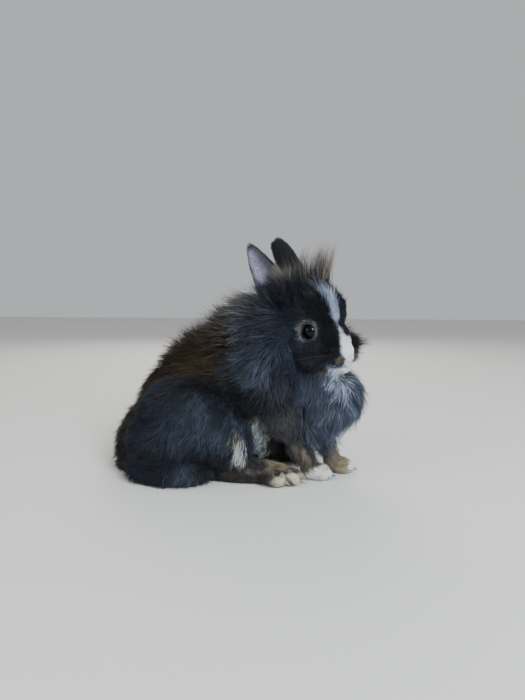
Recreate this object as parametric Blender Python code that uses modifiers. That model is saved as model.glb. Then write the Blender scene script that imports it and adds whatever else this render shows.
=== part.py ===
"""A young lionhead rabbit sitting on a floor, life size, built of solids parted where the body is.

Metres, +Z up, +X the way the body faces, +Y its left. The origin is on the floor, below the middle of
the bounding box. The pieces are made in millimetres, as the sizes below are, and the last step turns
them into metres.
"""

import math
import random
from collections import namedtuple

import bmesh
import bpy
import numpy as np
from mathutils import Matrix, Vector
from mathutils.bvhtree import BVHTree

MM = 0.001

# Driving sizes, in millimetres and degrees
GAP = 0.3
ORIGIN_SHIFT = (6.0, -0.1, 0.0)
BODY_VOXEL = 3.0
LIMB_VOXEL = 1.6
HEAD_VOXEL = 1.6
FLOOR_SIZE = 600.0
LEAST_SLOPE = 0.3
WELD = 0.004

# The head's frame: its origin is midway between the eyes, and it is turned to the rabbit's right
HEAD_AT = (64.0, -4.0, 119.0)
HEAD_YAW = -23.0
EYE_HALF_WIDTH = 13.2
EYE_RADIUS = 7.0
LID_RADIUS = 6.4
LID_THICK = 1.5
LID_OUT = 3.3
MOUTH_RADIUS = 0.8
NOSTRIL_RADIUS = 0.9

EAR_LENGTH = {"right": 59.0, "left": 65.0}
EAR_WIDTH = {"right": 26.0, "left": 24.0}
EAR_THICK = 1.8
EAR_ROOT = (-22.0, 12.5, 20.0)
EAR_LEAN_BACK = {"right": 31.0, "left": 30.0}
EAR_SPLAY = {"right": 13.0, "left": 2.0}
EAR_TURN = 80.0
EAR_WIDEST = {"right": 0.3, "left": 0.46}
EAR_TIP = {"right": (1.6, 0.72), "left": (2.4, 0.46)}

HIND_FOOT_Y = 33.0
FOREPAW_AT = {"right": (65.0, -15.0), "left": (81.0, 7.0)}
SIDES = {"right": -1.0, "left": 1.0}

# Triangles that each smooth form is brought down to before its locks are joined on
FINENESS = {
    "torso": 640,
    "haunch": 340,
    "neck": 440,
    "chest": 340,
    "tail": 120,
    "head": 2300,
    "hind_foot": 380,
    "forepaw": 320,
    "foreleg": 240,
}
# How far the core of a hairy piece stays inside the outline that its locks make
CORE_INSET = {"torso": 4.0, "haunch": 4.0, "neck": 6.0, "chest": 6.0, "tail": 3.0}

# Each lock is a blade with a keel, rooted this deep, kept this clear of other pieces
LOCK_RINGS = 4
LOCK_SINK = 3.0
LOCK_CLEARANCE = 1.3
ROOT_CLEARANCE = 3.5
LOCK_THICKNESS = 2.4
LOCK_CURL = 0.10
LEAST_HEIGHT = 0.4
LEAST_ADVANCE = 0.7
SEED = 3
RAY = Vector((0.31, 0.22, 0.92)).normalized()
RAY_STEP = 0.001

COLOURS = {
    "coat_back": ((0.060, 0.045, 0.032), 0.95),
    "coat_flank": ((0.035, 0.040, 0.050), 0.95),
    "coat_mane": ((0.055, 0.060, 0.070), 0.95),
    "coat_head": ((0.030, 0.030, 0.035), 0.95),
    "coat_foot": ((0.300, 0.240, 0.170), 0.95),
    "coat_ear": ((0.050, 0.050, 0.055), 0.90),
    "eye": ((0.010, 0.007, 0.006), 0.05),
}
SLOTS = {
    "torso": "coat_back",
    "tail": "coat_back",
    "neck": "coat_mane",
    "chest": "coat_mane",
    "head": "coat_head",
    "eye": "eye",
    "ear": "coat_ear",
    "hind_foot": "coat_foot",
    "forepaw": "coat_foot",
    "foreleg": "coat_flank",
    "haunch": "coat_flank",
}

# Each mass is a name, a centre, three radii and a pitch in degrees (front end down is positive).
TORSO_MASSES = [
    ("rump", (-64, 0, 13), (52, 43, 55), 0),
    ("back", (-33, 0, 54), (73, 41, 55), -38),
    ("withers", (-1, 0, 88), (38, 33, 41), 0),
    ("ribs", (8, 0, 66), (46, 35, 50), 0),
    ("belly", (-8, 0, 32), (56, 33, 29), 0),
]
HAUNCH_MASSES = [
    ("thigh", (-36, 33, 45), (48, 23, 40), 14),
    ("knee", (-6, 37, 33), (26, 17, 26), 0),
    ("hock", (-54, 33, 30), (38, 26, 31), 0),
    ("skirt", (-51, 38, 8), (40, 28, 18), 0),
]
HIND_FOOT_MASSES = [
    ("heel", (-20, 0, 8), (14, 9, 9), 0),
    ("instep", (8, 0, 9), (34, 11, 11), -4),
    ("ball", (32, 0, 8), (16, 12, 10), 0),
]
FORELEG_MASSES = [
    ("upper_arm", (-30, 7, 56), (19, 12, 26), -20),
    ("forearm", (-16, 3, 27), (10, 9, 24), -32),
]
FOREPAW_MASSES = [
    ("wrist", (-7, 0, 9), (8, 7, 10), 0),
    ("paw", (0, 0, 6), (11, 8, 8), 0),
]
TAIL_MASSES = [
    ("tail_root", (-98, 3, 27), (17, 13, 15), 0),
    ("tail_tip", (-108, 5, 19), (12, 11, 15), 0),
]
CHEST_MASSES = [
    ("ruff_front", (63, -1, 66), (38, 33, 33), 0),
    ("ruff_low", (54, -1, 50), (32, 29, 24), 0),
]
NECK_MASSES = [
    ("nape", (20, 0, 116), (34, 31, 31), 0),
    ("throat", (23, 0, 95), (34, 40, 34), 0),
    ("shoulder_mane", (26, 0, 76), (39, 41, 31), 0),
]
HEAD_MASSES = [
    ("cranium", (-13, 0, 9), (29, 22, 24), 0),
    ("forehead", (3, 0, 15), (20, 17, 20), 20),
    ("bridge", (11.5, 0, -3), (19, 12.5, 14), 40),
    ("nose", (22.5, 0, -15.5), (9.0, 8.0, 8.5), 0),
    ("lower_lip", (19.5, 0, -29), (8.5, 6.5, 4.8), 12),
    ("jaw", (6, 0, -27), (18, 13, 10), 12),
    ("throat", (-8, 0, -18), (26, 17, 18), 10),
]
HEAD_PAIRED_MASSES = [
    ("cheek", (-4, 11, -14), (20, 12, 18), 20),
    ("whisker_pad", (18.5, 6, -19.5), (11, 7.5, 7.5), 14),
    ("brow", (-2, 12, 5), (12, 7.5, 10), 20),
]

# A kind of lock: how far apart the roots are, the lock's size, how steeply it leaves the coat in
# degrees, how far its tip droops, the way it lies, and the region that it grows in
Growth = namedtuple("Growth", "spacing length width lift droop lie region")


def tilt(pitch):
    return Matrix.Rotation(math.radians(pitch), 4, "Y")


def head_frame():
    place = Matrix.Translation(Vector(HEAD_AT))
    return place @ Matrix.Rotation(math.radians(HEAD_YAW), 4, "Z")


def surface_of(obj):
    """The object's surface, for finding the nearest point on it."""
    bm = bmesh.new()
    bm.from_mesh(obj.data)
    surface = BVHTree.FromBMesh(bm)
    bm.free()
    return surface


def make_object(name, bm, collection):
    mesh = bpy.data.meshes.new(name)
    bm.normal_update()
    bm.to_mesh(mesh)
    bm.free()
    obj = bpy.data.objects.new(name, mesh)
    if collection:
        collection.objects.link(obj)
    return obj


def remove_objects(objects):
    for obj in objects:
        bpy.data.objects.remove(obj)


def bake_modifiers(obj):
    """Replaces the object's mesh by the one its modifiers make."""
    bpy.context.view_layer.update()
    graph = bpy.context.evaluated_depsgraph_get()
    mesh = bpy.data.meshes.new_from_object(obj.evaluated_get(graph))
    old = obj.data
    obj.modifiers.clear()
    obj.data = mesh
    bpy.data.meshes.remove(old)


def triangle_count(mesh):
    return sum(len(polygon.vertices) - 2 for polygon in mesh.polygons)


def fuse(obj, voxel, smooth_steps, triangles):
    """Makes one smooth closed skin over the object's overlapping masses."""
    remesh = obj.modifiers.new("fuse", "REMESH")
    remesh.mode = "VOXEL"
    remesh.voxel_size = voxel
    smooth = obj.modifiers.new("smooth", "SMOOTH")
    smooth.factor = 0.5
    smooth.iterations = smooth_steps
    bake_modifiers(obj)
    fewer = obj.modifiers.new("fewer", "DECIMATE")
    fewer.ratio = min(1.0, triangles / triangle_count(obj.data))
    fewer.use_collapse_triangulate = True
    bake_modifiers(obj)


def box_diagonal(verts):
    points = np.array([vert.co for vert in verts])
    return float(np.linalg.norm(points.max(0) - points.min(0)))


def connected_groups(bm):
    """The mesh's points in groups, one for each surface that hangs together."""
    left = set(bm.verts)
    groups = []
    while left:
        stack = [left.pop()]
        group = set(stack)
        while stack:
            for edge in stack.pop().link_edges:
                fresh = set(edge.verts) - group
                group |= fresh
                stack.extend(fresh)
        left -= group
        groups.append(group)
    return groups


def keep_largest(obj):
    """Keeps the largest closed surface of the object."""
    bm = bmesh.new()
    bm.from_mesh(obj.data)
    groups = connected_groups(bm)
    largest = max(groups, key=box_diagonal)
    loose = [vert for group in groups if group is not largest for vert in group]
    bmesh.ops.delete(bm, geom=loose, context="VERTS")
    bmesh.ops.remove_doubles(bm, verts=bm.verts, dist=WELD)
    bmesh.ops.triangulate(bm, faces=bm.faces)
    bm.to_mesh(obj.data)
    bm.free()


def boolean(obj, others, operation="DIFFERENCE"):
    """Cuts the collection's solids out of the object, or joins them on."""
    modifier = obj.modifiers.new("boolean", "BOOLEAN")
    modifier.operation = operation
    modifier.solver = "MANIFOLD"
    modifier.operand_type = "COLLECTION"
    modifier.collection = others
    bake_modifiers(obj)
    keep_largest(obj)


def remove_collection(collection):
    remove_objects(list(collection.objects))
    bpy.data.collections.remove(collection)


def grown(obj, amount):
    """A copy, in no collection yet, whose faces all stand off the object's by the amount in millimetres."""
    bm = bmesh.new()
    bm.from_mesh(obj.data)
    bm.normal_update()
    moves = []
    for vert in bm.verts:
        slope = min(vert.normal.dot(face.normal) for face in vert.link_faces)
        moves.append((vert, vert.normal * amount / max(slope, LEAST_SLOPE)))
    for vert, move in moves:
        vert.co += move
    return make_object(obj.name + "_grown", bm, None)


def add_ellipsoid(bm, centre, radii, pitch, place):
    matrix = place @ Matrix.Translation(Vector(centre)) @ tilt(pitch) @ Matrix.Diagonal((*radii, 1.0))
    bmesh.ops.create_icosphere(bm, subdivisions=3, radius=1.0, matrix=matrix)


def mirrored(masses, side):
    return [(name, (at[0], side * at[1], at[2]), radii, pitch) for name, at, radii, pitch in masses]


def from_masses(name, masses, parts, place=Matrix.Identity(4), voxel=BODY_VOXEL, steps=6):
    """One smooth body over the masses, as fine as FINENESS says for its kind."""
    inset = CORE_INSET.get(kind_of(name), 0.0)
    bm = bmesh.new()
    for _, centre, radii, pitch in masses:
        add_ellipsoid(bm, centre, [radius - inset for radius in radii], pitch, place)
    obj = make_object(name, bm, parts)
    fuse(obj, voxel, steps, FINENESS[kind_of(name)])
    return obj


def kind_of(name):
    """The name without its side."""
    for side in SIDES:
        name = name.removesuffix("_" + side)
    return name


def add_loft(bm, sections, tip=None):
    """A closed solid through sections of equally many points, which ends in a cap or a tip."""
    rings = [[bm.verts.new(point) for point in section] for section in sections]
    count = len(rings[0])
    for here, there in zip(rings, rings[1:]):
        for i in range(count):
            j = (i + 1) % count
            bm.faces.new((here[i], here[j], there[j], there[i]))
    bm.faces.new(rings[0][::-1])
    if tip is None:
        bm.faces.new(rings[-1])
        return
    end = bm.verts.new(tip)
    for i in range(count):
        bm.faces.new((rings[-1][i], rings[-1][(i + 1) % count], end))


def add_tube(bm, path, radius, sides=6):
    """A round tube along the path, in millimetres."""
    sections = []
    across = (path[1] - path[0]).orthogonal()
    for i, point in enumerate(path):
        ahead = (path[min(i + 1, len(path) - 1)] - path[max(i - 1, 0)]).normalized()
        across = (across - ahead * across.dot(ahead)).normalized()
        up = ahead.cross(across)
        turns = [2 * math.pi * k / sides for k in range(sides)]
        sections.append([point + (across * math.cos(t) + up * math.sin(t)) * radius for t in turns])
    add_loft(bm, sections)


def is_inside(surface, point):
    """Whether a line from the point leaves the closed surface an odd number of times."""
    crossings = 0
    start = point
    while True:
        hit = surface.ray_cast(start, RAY)[0]
        if hit is None:
            return crossings % 2 == 1
        crossings += 1
        start = hit + RAY * RAY_STEP


def height_over(surface, point):
    """The height over the surface, negative inside it, and the way out."""
    nearest, normal, _, distance = surface.find_nearest(point)
    inside = is_inside(surface, point)
    if distance < RAY_STEP:
        return 0.0, normal
    if inside:
        return -distance, (nearest - point) / distance
    return distance, (point - nearest) / distance


def lie_from_head(point):
    """The mane lies away from the face, and down."""
    return (point - Vector(HEAD_AT)).normalized() + Vector((-0.25, 0, -0.45))


def lie_back(point):
    return Vector((-1, 0, -0.45))


def lie_down(point):
    return Vector((-0.45, 0, -1))


def lie_forelock(point):
    """The forelock rises from between the ears, and its front falls forward."""
    x, y, _ = head_frame().inverted() @ point
    return head_frame().to_3x3() @ Vector((0.05 * (x + 4), 0.04 * y, 1.0))


def lie_near_cheek(point):
    return head_frame().to_3x3() @ Vector((-0.5, -0.35, -0.8))


def lie_far_cheek(point):
    return head_frame().to_3x3() @ Vector((0.6, 1.0, 0.05))


def in_all(point):
    return True


def in_upper_body(point):
    return point.z > 22


def in_outer_haunch(point):
    return abs(point.y) > 26


def in_forelock(point):
    x, y, z = head_frame().inverted() @ point
    return -16 < x < 7 and abs(y) < 12 and z > 25


def in_near_cheek(point):
    x, y, z = head_frame().inverted() @ point
    return -24 < x < 2 and y < -12 and -36 < z < -10


def in_far_cheek(point):
    x, y, z = head_frame().inverted() @ point
    return -6 < x < 13 and y > 13 and -22 < z < 4


# The mane and ruff lie close, the forelock and the cheeks' tufts stand out.
HAIR = {
    "neck": [Growth(13.5, 31, 14, 17, 0.4, lie_from_head, in_all)],
    "chest": [Growth(14, 25, 15, 12, 0.5, lie_from_head, in_all)],
    "torso": [Growth(20, 28, 18, 7, 0.1, lie_back, in_upper_body)],
    "haunch": [Growth(18.5, 27, 16, 9, 0.2, lie_down, in_outer_haunch)],
    "tail": [Growth(12, 15, 10, 14, 0.1, lie_back, in_all)],
    "head": [
        Growth(8.0, 31, 9, 74, 0.0, lie_forelock, in_forelock),
        Growth(9.5, 22, 10, 20, 0.3, lie_near_cheek, in_near_cheek),
        Growth(8.5, 35, 11, 66, 0.1, lie_far_cheek, in_far_cheek),
    ],
}


def points_over(obj, rng):
    """Points spread at random over the mesh."""
    triangles = list(obj.data.polygons)
    corners = obj.data.vertices
    for polygon in rng.choices(triangles, weights=[t.area for t in triangles], k=len(triangles) * 4):
        a, b, c = (corners[i].co for i in polygon.vertices[:3])
        u, v = sorted((rng.random(), rng.random()))
        yield a * u + b * (v - u) + c * (1 - v)


def lowest(surfaces, point):
    """The height over the surface that covers the point most, and the way out of it."""
    return min((height_over(surface, point) for surface in surfaces), key=lambda found: found[0])


def lock_path(root, growth, rng, surfaces):
    """The lock's middle line and the ways out along it: it lifts off the coat as it follows its lie."""
    lift = math.radians(growth.lift * rng.uniform(0.7, 1.3))
    step = growth.length * rng.uniform(0.85, 1.15) / LOCK_RINGS
    curl = rng.uniform(-LOCK_CURL, LOCK_CURL)
    out = lowest(surfaces, root)[1]
    path = [(root - out * LOCK_SINK, out)]
    point = root
    for i in range(LOCK_RINGS):
        lie = growth.lie(point).normalized() - Vector((0, 0, growth.droop * i / LOCK_RINGS))
        flow = (lie - out * lie.dot(out)).normalized()
        heading = flow * math.cos(lift) + out * math.sin(lift) + flow.cross(out) * curl * i
        point = point + heading.normalized() * step
        out = lowest(surfaces, point)[1]
        path.append((point, out))
    return path


def lock_sections(path, width):
    """Flat sections across the path, with a keel on their outer side, and the tip."""
    sections = []
    for i, (point, out) in enumerate(path[:-1]):
        t = i / LOCK_RINGS
        ahead = (path[i + 1][0] - path[max(i - 1, 0)][0]).normalized()
        side = ahead.cross(out).normalized()
        half = side * width / 2 * (0.75 + 0.5 * t if t < 0.5 else 1.6 - 1.2 * t)
        keel = side.cross(ahead) * LOCK_THICKNESS * (1 - 0.6 * t)
        sections.append([point - half, point + half, point + keel])
    return sections + [[path[-1][0]]]


def lift_clear(sections, surfaces):
    """Moves each section that comes too near another piece straight out from it."""
    for section in sections[1:]:
        height, out = min((lowest(surfaces, point) for point in section), key=lambda found: found[0])
        if height < LOCK_CLEARANCE:
            section[:] = [point + out * (LOCK_CLEARANCE - height) for point in section]
        sunk = LEAST_HEIGHT - min(point.z for point in section)
        if sunk > 0:
            section[:] = [point + Vector((0, 0, sunk)) for point in section]


def is_sound(sections):
    """Whether the sections follow one another without folding over or turning about."""
    for here, there in zip(sections, sections[1:-1]):
        step = sum(there, Vector()) / len(there) - sum(here, Vector()) / len(here)
        ahead = (here[1] - here[0]).cross(here[2] - here[0]).normalized()
        side_turn = (here[1] - here[0]).normalized().dot((there[1] - there[0]).normalized())
        if abs(step.dot(ahead)) < LEAST_ADVANCE * step.length or side_turn < LEAST_ADVANCE:
            return False
    return (sections[-1][0] - sections[-2][2]).length > LOCK_THICKNESS


def crosses(sections, coats):
    points = [point for section in sections[1:] for point in section]
    return any(lowest(coats, point)[0] < LOCK_CLEARANCE for point in points)


def add_locks(obj, growth, own, others, coats, rng, locks):
    """Blades of hair, each a closed solid rooted in the piece, that keep clear of all the others."""
    roots = []
    for root in points_over(obj, rng):
        if not growth.region(root) or root.z < ROOT_CLEARANCE:
            continue
        if any((root - other).length < growth.spacing for other in roots):
            continue
        if lowest(others, root)[0] < ROOT_CLEARANCE:
            continue
        path = lock_path(root, growth, rng, [own] + others)
        sections = lock_sections(path, growth.width * rng.uniform(0.85, 1.15))
        lift_clear(sections, others)
        if not is_sound(sections) or (coats and crosses(sections, coats)):
            continue
        roots.append(root)
        bm = bmesh.new()
        add_loft(bm, sections[:-1], sections[-1][0])
        bmesh.ops.recalc_face_normals(bm, faces=bm.faces)
        bmesh.ops.triangulate(bm, faces=bm.faces)
        make_object("lock", bm, locks)


def part_out(forms, cutters, cores, coats, rng):
    """Grows each form's locks, cuts it clear of all before it, and adds it, grown by the gap, to them."""
    own = []
    for obj in forms:
        own.append(grown(obj, GAP))
        if kind_of(obj.name) in HAIR:
            locks = new_collection("locks")
            others = [surface for name, surface in cores.items() if name != obj.name]
            for growth in HAIR[kind_of(obj.name)]:
                add_locks(obj, growth, cores[obj.name], others, coats, rng, locks)
            own.extend(grown(lock, GAP) for lock in locks.objects)
            if locks.objects:
                boolean(obj, locks, "UNION")
            coats.append(surface_of(obj))
            remove_collection(locks)
        boolean(obj, cutters)
    for obj in own:
        cutters.objects.link(obj)


def make_hind_foot(name, side, parts):
    """The long hind foot, with four toes side by side at its front."""
    toes = [(43, -9.2), (54, -3.4), (56, 3.2), (49, 8.6)]
    masses = list(HIND_FOOT_MASSES)
    for tip, offset in toes:
        masses.append(("toe", (tip - 9.5, -side * offset, 7.0), (11.0, 5.0, 6.8), 18))
    place = Matrix.Translation((0, side * HIND_FOOT_Y, 0))
    return from_masses(name, masses, parts, place, LIMB_VOXEL, steps=2)


def make_forepaw(name, at, parts):
    masses = list(FOREPAW_MASSES)
    for offset, reach in ((-5.6, 8), (-1.9, 11), (1.9, 11), (5.6, 8)):
        masses.append(("toe", (reach - 5, offset, 4.2), (7.0, 2.9, 4.6), 0))
    place = Matrix.Translation((*at, 0))
    return from_masses(name, masses, parts, place, LIMB_VOXEL, steps=2)


def make_foreleg(name, side, at, parts):
    place = Matrix.Translation((*at, 0))
    return from_masses(name, mirrored(FORELEG_MASSES, side), parts, place, steps=3)


def make_haunch(name, side, parts):
    return from_masses(name, mirrored(HAUNCH_MASSES, side), parts)


def eye_centre(side):
    return (0.0, side * EYE_HALF_WIDTH, 0.0)


def make_eye(name, side, parts):
    facing = Matrix.Translation(eye_centre(side)) @ Matrix.Rotation(math.radians(90), 4, "X")
    matrix = head_frame() @ facing
    bm = bmesh.new()
    bmesh.ops.create_uvsphere(bm, u_segments=14, v_segments=8, radius=EYE_RADIUS, matrix=matrix)
    return make_object(name, bm, parts)


def make_lid(side, lids):
    """The swollen rim round the eye's opening."""
    bpy.ops.mesh.primitive_torus_add(
        major_radius=LID_RADIUS, minor_radius=LID_THICK, major_segments=18, minor_segments=6
    )
    lid = bpy.context.object
    for collection in list(lid.users_collection):
        collection.objects.unlink(lid)
    lids.objects.link(lid)
    facing = Matrix.Translation((0, side * (EYE_HALF_WIDTH + LID_OUT), 0))
    lid.data.transform(head_frame() @ facing @ Matrix.Rotation(math.radians(90), 4, "X"))


def face_point(surface, start, aim):
    """Where the line from start towards aim, both in the head's frame, leaves the head."""
    origin = head_frame() @ Vector(start)
    direction = (head_frame() @ Vector(aim) - origin).normalized()
    return surface.ray_cast(origin, direction)[0]


def mouth_path(surface):
    """The line of the mouth, from one corner round the lips to the other."""
    path = []
    for turn in range(-80, 81, 16):
        angle = math.radians(turn)
        drop = -24.0 - 2.5 * abs(turn) / 80
        aim = (12 + 30 * math.cos(angle), 30 * math.sin(angle), drop)
        path.append(face_point(surface, (12, 0, drop), aim))
    return path


def nostril_path(surface, side):
    """A slit that runs back and out from the tip of the nose."""
    heights = [(-17.5, 2.0), (-16.0, 5.5), (-14.5, 9.0)]
    return [face_point(surface, (19, 0, z), (35, side * y, z)) for z, y in heights]


def cleft_path(surface):
    """The short cleft from between the nostrils down to the mouth."""
    return [face_point(surface, (16, 0, z), (60, 0, z)) for z in (-19.0, -21.5, -24.5)]


def carve_face(head):
    """Cuts the mouth, the nostrils and the cleft below the nose into the head."""
    surface = surface_of(head)
    grooves = [(mouth_path(surface), MOUTH_RADIUS), (cleft_path(surface), MOUTH_RADIUS)]
    for side in SIDES.values():
        grooves.append((nostril_path(surface, side), NOSTRIL_RADIUS))
    cutters = new_collection("grooves")
    for path, radius in grooves:
        bm = bmesh.new()
        add_tube(bm, path, radius)
        bmesh.ops.recalc_face_normals(bm, faces=bm.faces)
        make_object("groove", bm, cutters)
    boolean(head, cutters)
    remove_collection(cutters)


def make_head(parts):
    masses = HEAD_MASSES
    for side in SIDES.values():
        masses = masses + mirrored(HEAD_PAIRED_MASSES, side)
    head = from_masses("head", masses, parts, head_frame(), HEAD_VOXEL, steps=4)
    carve_face(head)
    lids = new_collection("lids")
    for side in SIDES.values():
        make_lid(side, lids)
    boolean(head, lids, "UNION")
    remove_collection(lids)
    return head


def leaf_width(side, along):
    """The ear's width at this share of its length: narrow at the root, and pointed or round at the tip."""
    widest = EAR_WIDEST[side]
    width = EAR_WIDTH[side] * (0.45 + 0.55 * math.sin(math.pi / 2 * min(along / widest, 1.0)))
    if along > widest:
        fullness, taper = EAR_TIP[side]
        width *= (1 - ((along - widest) / (1.03 - widest)) ** fullness) ** taper
    return width


def make_ear(name, side, parts):
    """A leaf rolled into a cup: nearly a tube at its root, and open to the side above."""
    rows, columns = 11, 7
    bm = bmesh.new()
    bmesh.ops.create_grid(bm, x_segments=columns - 1, y_segments=rows - 1, size=1.0)
    bmesh.ops.triangulate(bm, faces=bm.faces)
    for vert in bm.verts:
        across, along = vert.co.x, (vert.co.y + 1) / 2
        half_arc = math.radians(150 - 95 * min(along / 0.45, 1.0))
        radius = leaf_width(side, along) / 2 / max(math.sin(min(half_arc, math.pi / 2)), 0.4)
        angle = across * half_arc
        bend = (radius * (1 - math.cos(angle)), radius * math.sin(angle))
        vert.co = Vector((*bend, along * EAR_LENGTH[side]))
    ear = make_object(name, bm, parts)
    shell = ear.modifiers.new("thickness", "SOLIDIFY")
    shell.thickness = EAR_THICK
    shell.offset = 0
    bake_modifiers(ear)
    root = Matrix.Translation((EAR_ROOT[0], SIDES[side] * EAR_ROOT[1], EAR_ROOT[2]))
    splay = Matrix.Rotation(math.radians(-SIDES[side] * EAR_SPLAY[side]), 4, "X")
    turn = Matrix.Rotation(math.radians(SIDES[side] * EAR_TURN), 4, "Z")
    ear.data.transform(head_frame() @ root @ splay @ tilt(-EAR_LEAN_BACK[side]) @ turn)
    bm = bmesh.new()
    bm.from_mesh(ear.data)
    bmesh.ops.recalc_face_normals(bm, faces=bm.faces)
    bm.to_mesh(ear.data)
    bm.free()
    return ear


def make_floor_block(cutters):
    """The space below the floor, which everything that rests on it is cut by."""
    bm = bmesh.new()
    bmesh.ops.create_cube(bm, size=FLOOR_SIZE, matrix=Matrix.Translation((0, 0, -FLOOR_SIZE / 2)))
    return make_object("floor_block", bm, cutters)


def material_for(slot):
    material = bpy.data.materials.get(slot)
    if material is None:
        colour, roughness = COLOURS[slot]
        material = bpy.data.materials.new(slot)
        material.use_nodes = True
        shader = material.node_tree.nodes["Principled BSDF"]
        shader.inputs["Base Color"].default_value = (*colour, 1.0)
        shader.inputs["Roughness"].default_value = roughness
        shader.inputs["Metallic"].default_value = 0.0
    return material


def finish(parts):
    """Gives every part its material, and sets the whole on its origin."""
    root = bpy.data.objects.new("rabbit", None)
    root.location = Vector(ORIGIN_SHIFT) * MM
    for obj in parts.objects:
        obj.data.transform(Matrix.Scale(MM, 4))
        obj.data.materials.clear()
        obj.data.materials.append(material_for(SLOTS[kind_of(obj.name)]))
        obj.data.shade_smooth()
        obj.parent = root
    parts.objects.link(root)


def new_collection(name):
    collection = bpy.data.collections.new(name)
    bpy.context.scene.collection.children.link(collection)
    return collection


def build():
    remove_objects(list(bpy.data.objects))
    parts = new_collection("lionhead_rabbit")
    # Each step's pieces stand clear of one another, and give way to those of the steps above it.
    steps = (
        [make_eye("eye_" + name, side, parts) for name, side in SIDES.items()],
        [make_head(parts)],
        [make_ear("ear_" + side, side, parts) for side in SIDES],
        [make_hind_foot("hind_foot_" + name, side, parts) for name, side in SIDES.items()],
        [make_forepaw("forepaw_" + name, FOREPAW_AT[name], parts) for name in SIDES],
        [make_foreleg("foreleg_" + name, side, FOREPAW_AT[name], parts) for name, side in SIDES.items()],
        [from_masses("chest", CHEST_MASSES, parts), from_masses("tail", TAIL_MASSES, parts)],
        [from_masses("neck", NECK_MASSES, parts)],
        [make_haunch("haunch_" + name, side, parts) for name, side in SIDES.items()],
        [from_masses("torso", TORSO_MASSES, parts)],
    )
    cores = {obj.name: surface_of(obj) for step in steps for obj in step}
    coats = []
    rng = random.Random(SEED)
    cutters = new_collection("cutters")
    make_floor_block(cutters)
    for step in steps:
        part_out(step, cutters, cores, coats, rng)
    remove_collection(cutters)
    finish(parts)


build()
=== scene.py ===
"""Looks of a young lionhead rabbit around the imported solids: skin, coat, eyes, claws and whiskers.

Shapes are worked out in millimetres in the body's own frame, as the solids are, and to_row() turns them
into the row's metres. Colours are written as a screen shows them, from 0 to 255.
"""

import math

import bmesh
import bpy
import numpy as np
from mathutils import Matrix, Vector
from mathutils.bvhtree import BVHTree
from mathutils.kdtree import KDTree


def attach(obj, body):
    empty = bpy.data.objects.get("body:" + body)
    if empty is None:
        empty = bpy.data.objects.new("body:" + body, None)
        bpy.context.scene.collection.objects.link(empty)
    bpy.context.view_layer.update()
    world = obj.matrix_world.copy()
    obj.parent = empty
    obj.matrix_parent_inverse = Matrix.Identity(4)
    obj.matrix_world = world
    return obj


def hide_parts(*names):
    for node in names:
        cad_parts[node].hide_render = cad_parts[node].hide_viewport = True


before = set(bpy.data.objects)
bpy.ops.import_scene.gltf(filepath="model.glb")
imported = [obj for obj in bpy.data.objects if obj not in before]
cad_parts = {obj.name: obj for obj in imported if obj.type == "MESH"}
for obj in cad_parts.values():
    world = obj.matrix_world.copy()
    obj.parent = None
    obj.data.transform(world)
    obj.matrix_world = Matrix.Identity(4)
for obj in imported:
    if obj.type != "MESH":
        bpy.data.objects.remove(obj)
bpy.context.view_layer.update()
# The nodes that the skin stands for: all but the eyes
FLESH = [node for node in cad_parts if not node.startswith("eye_")]

MM = 0.001
ORIGIN_SHIFT = np.array((6.0, -0.1, 0.0))
BAKE_MAP = "OFBake"
SIDES = {"right": -1.0, "left": 1.0}

# Seeds of the random draws, the waves in a noise, and the length of the waves on a marking's edge
SEED = 11
MARK_SEED = 100
NOISE_WAVES = 10
MARK_WAVES = 9.0

# The camera, worked out from the photo
CAMERA_AT = (107.1, -427.1, 142.0)
CAMERA_TURN = 12.0
CAMERA_DOWN = 5.22
CAMERA_LENS = 27.03
CAMERA_SENSOR = 36.0

# The head's frame: its origin is midway between the eyes
HEAD_AT = (64.0, -4.0, 119.0)
HEAD_YAW = -23.0
EYE_HALF_WIDTH = 13.2
EYE_RADIUS = 7.0
EYE_OPENING = (5.2, 5.6)
EYE_SOCKET = 3.0
LID_OVER = 0.5
LID_RIM = 0.5
LID_RIM_AT = 1.12
LID_RIM_WIDTH = 0.09
LID_SLOPE = 7.4
LID_REACH = (8.2, 11.5)

EAR_LENGTH = {"right": 59.0, "left": 65.0}
EAR_WIDTH = {"right": 26.0, "left": 24.0}
EAR_THICK = 2.4
EAR_ROOT = (-22.0, 12.5, 20.0)
EAR_LEAN_BACK = {"right": 31.0, "left": 30.0}
EAR_SPLAY = {"right": 13.0, "left": 2.0}
EAR_TURN = 80.0
EAR_WIDEST = {"right": 0.3, "left": 0.46}
EAR_TIP = {"right": (1.6, 0.72), "left": (2.4, 0.46)}
EAR_GRID = (30, 60)
# Half the arc of the ear's cup, in degrees, at its root and from this share of its length on
CUP_ARC = (150, 55)
CUP_OPENS = 0.45
# The heights between which the head turns into the ear, and the room around it that still counts as ear
EAR_BEGINS = (9, 17)
EAR_ROOM = 4
EAR_DEPTH = 17

HIND_FOOT_Y = 33.0
FOREPAW_AT = {"right": (65.0, -15.0), "left": (81.0, 7.0)}
SKIN_VOXEL = 1.15
SMOOTH_STEPS = 26
FLOOR_CLEARANCE = 0.25
LEAST_HEIGHT = 0.45
# The skin's colours are darkened by this share, as painted shade under the coat
SKIN_PAINTED_SHADE = 0.8

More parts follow.
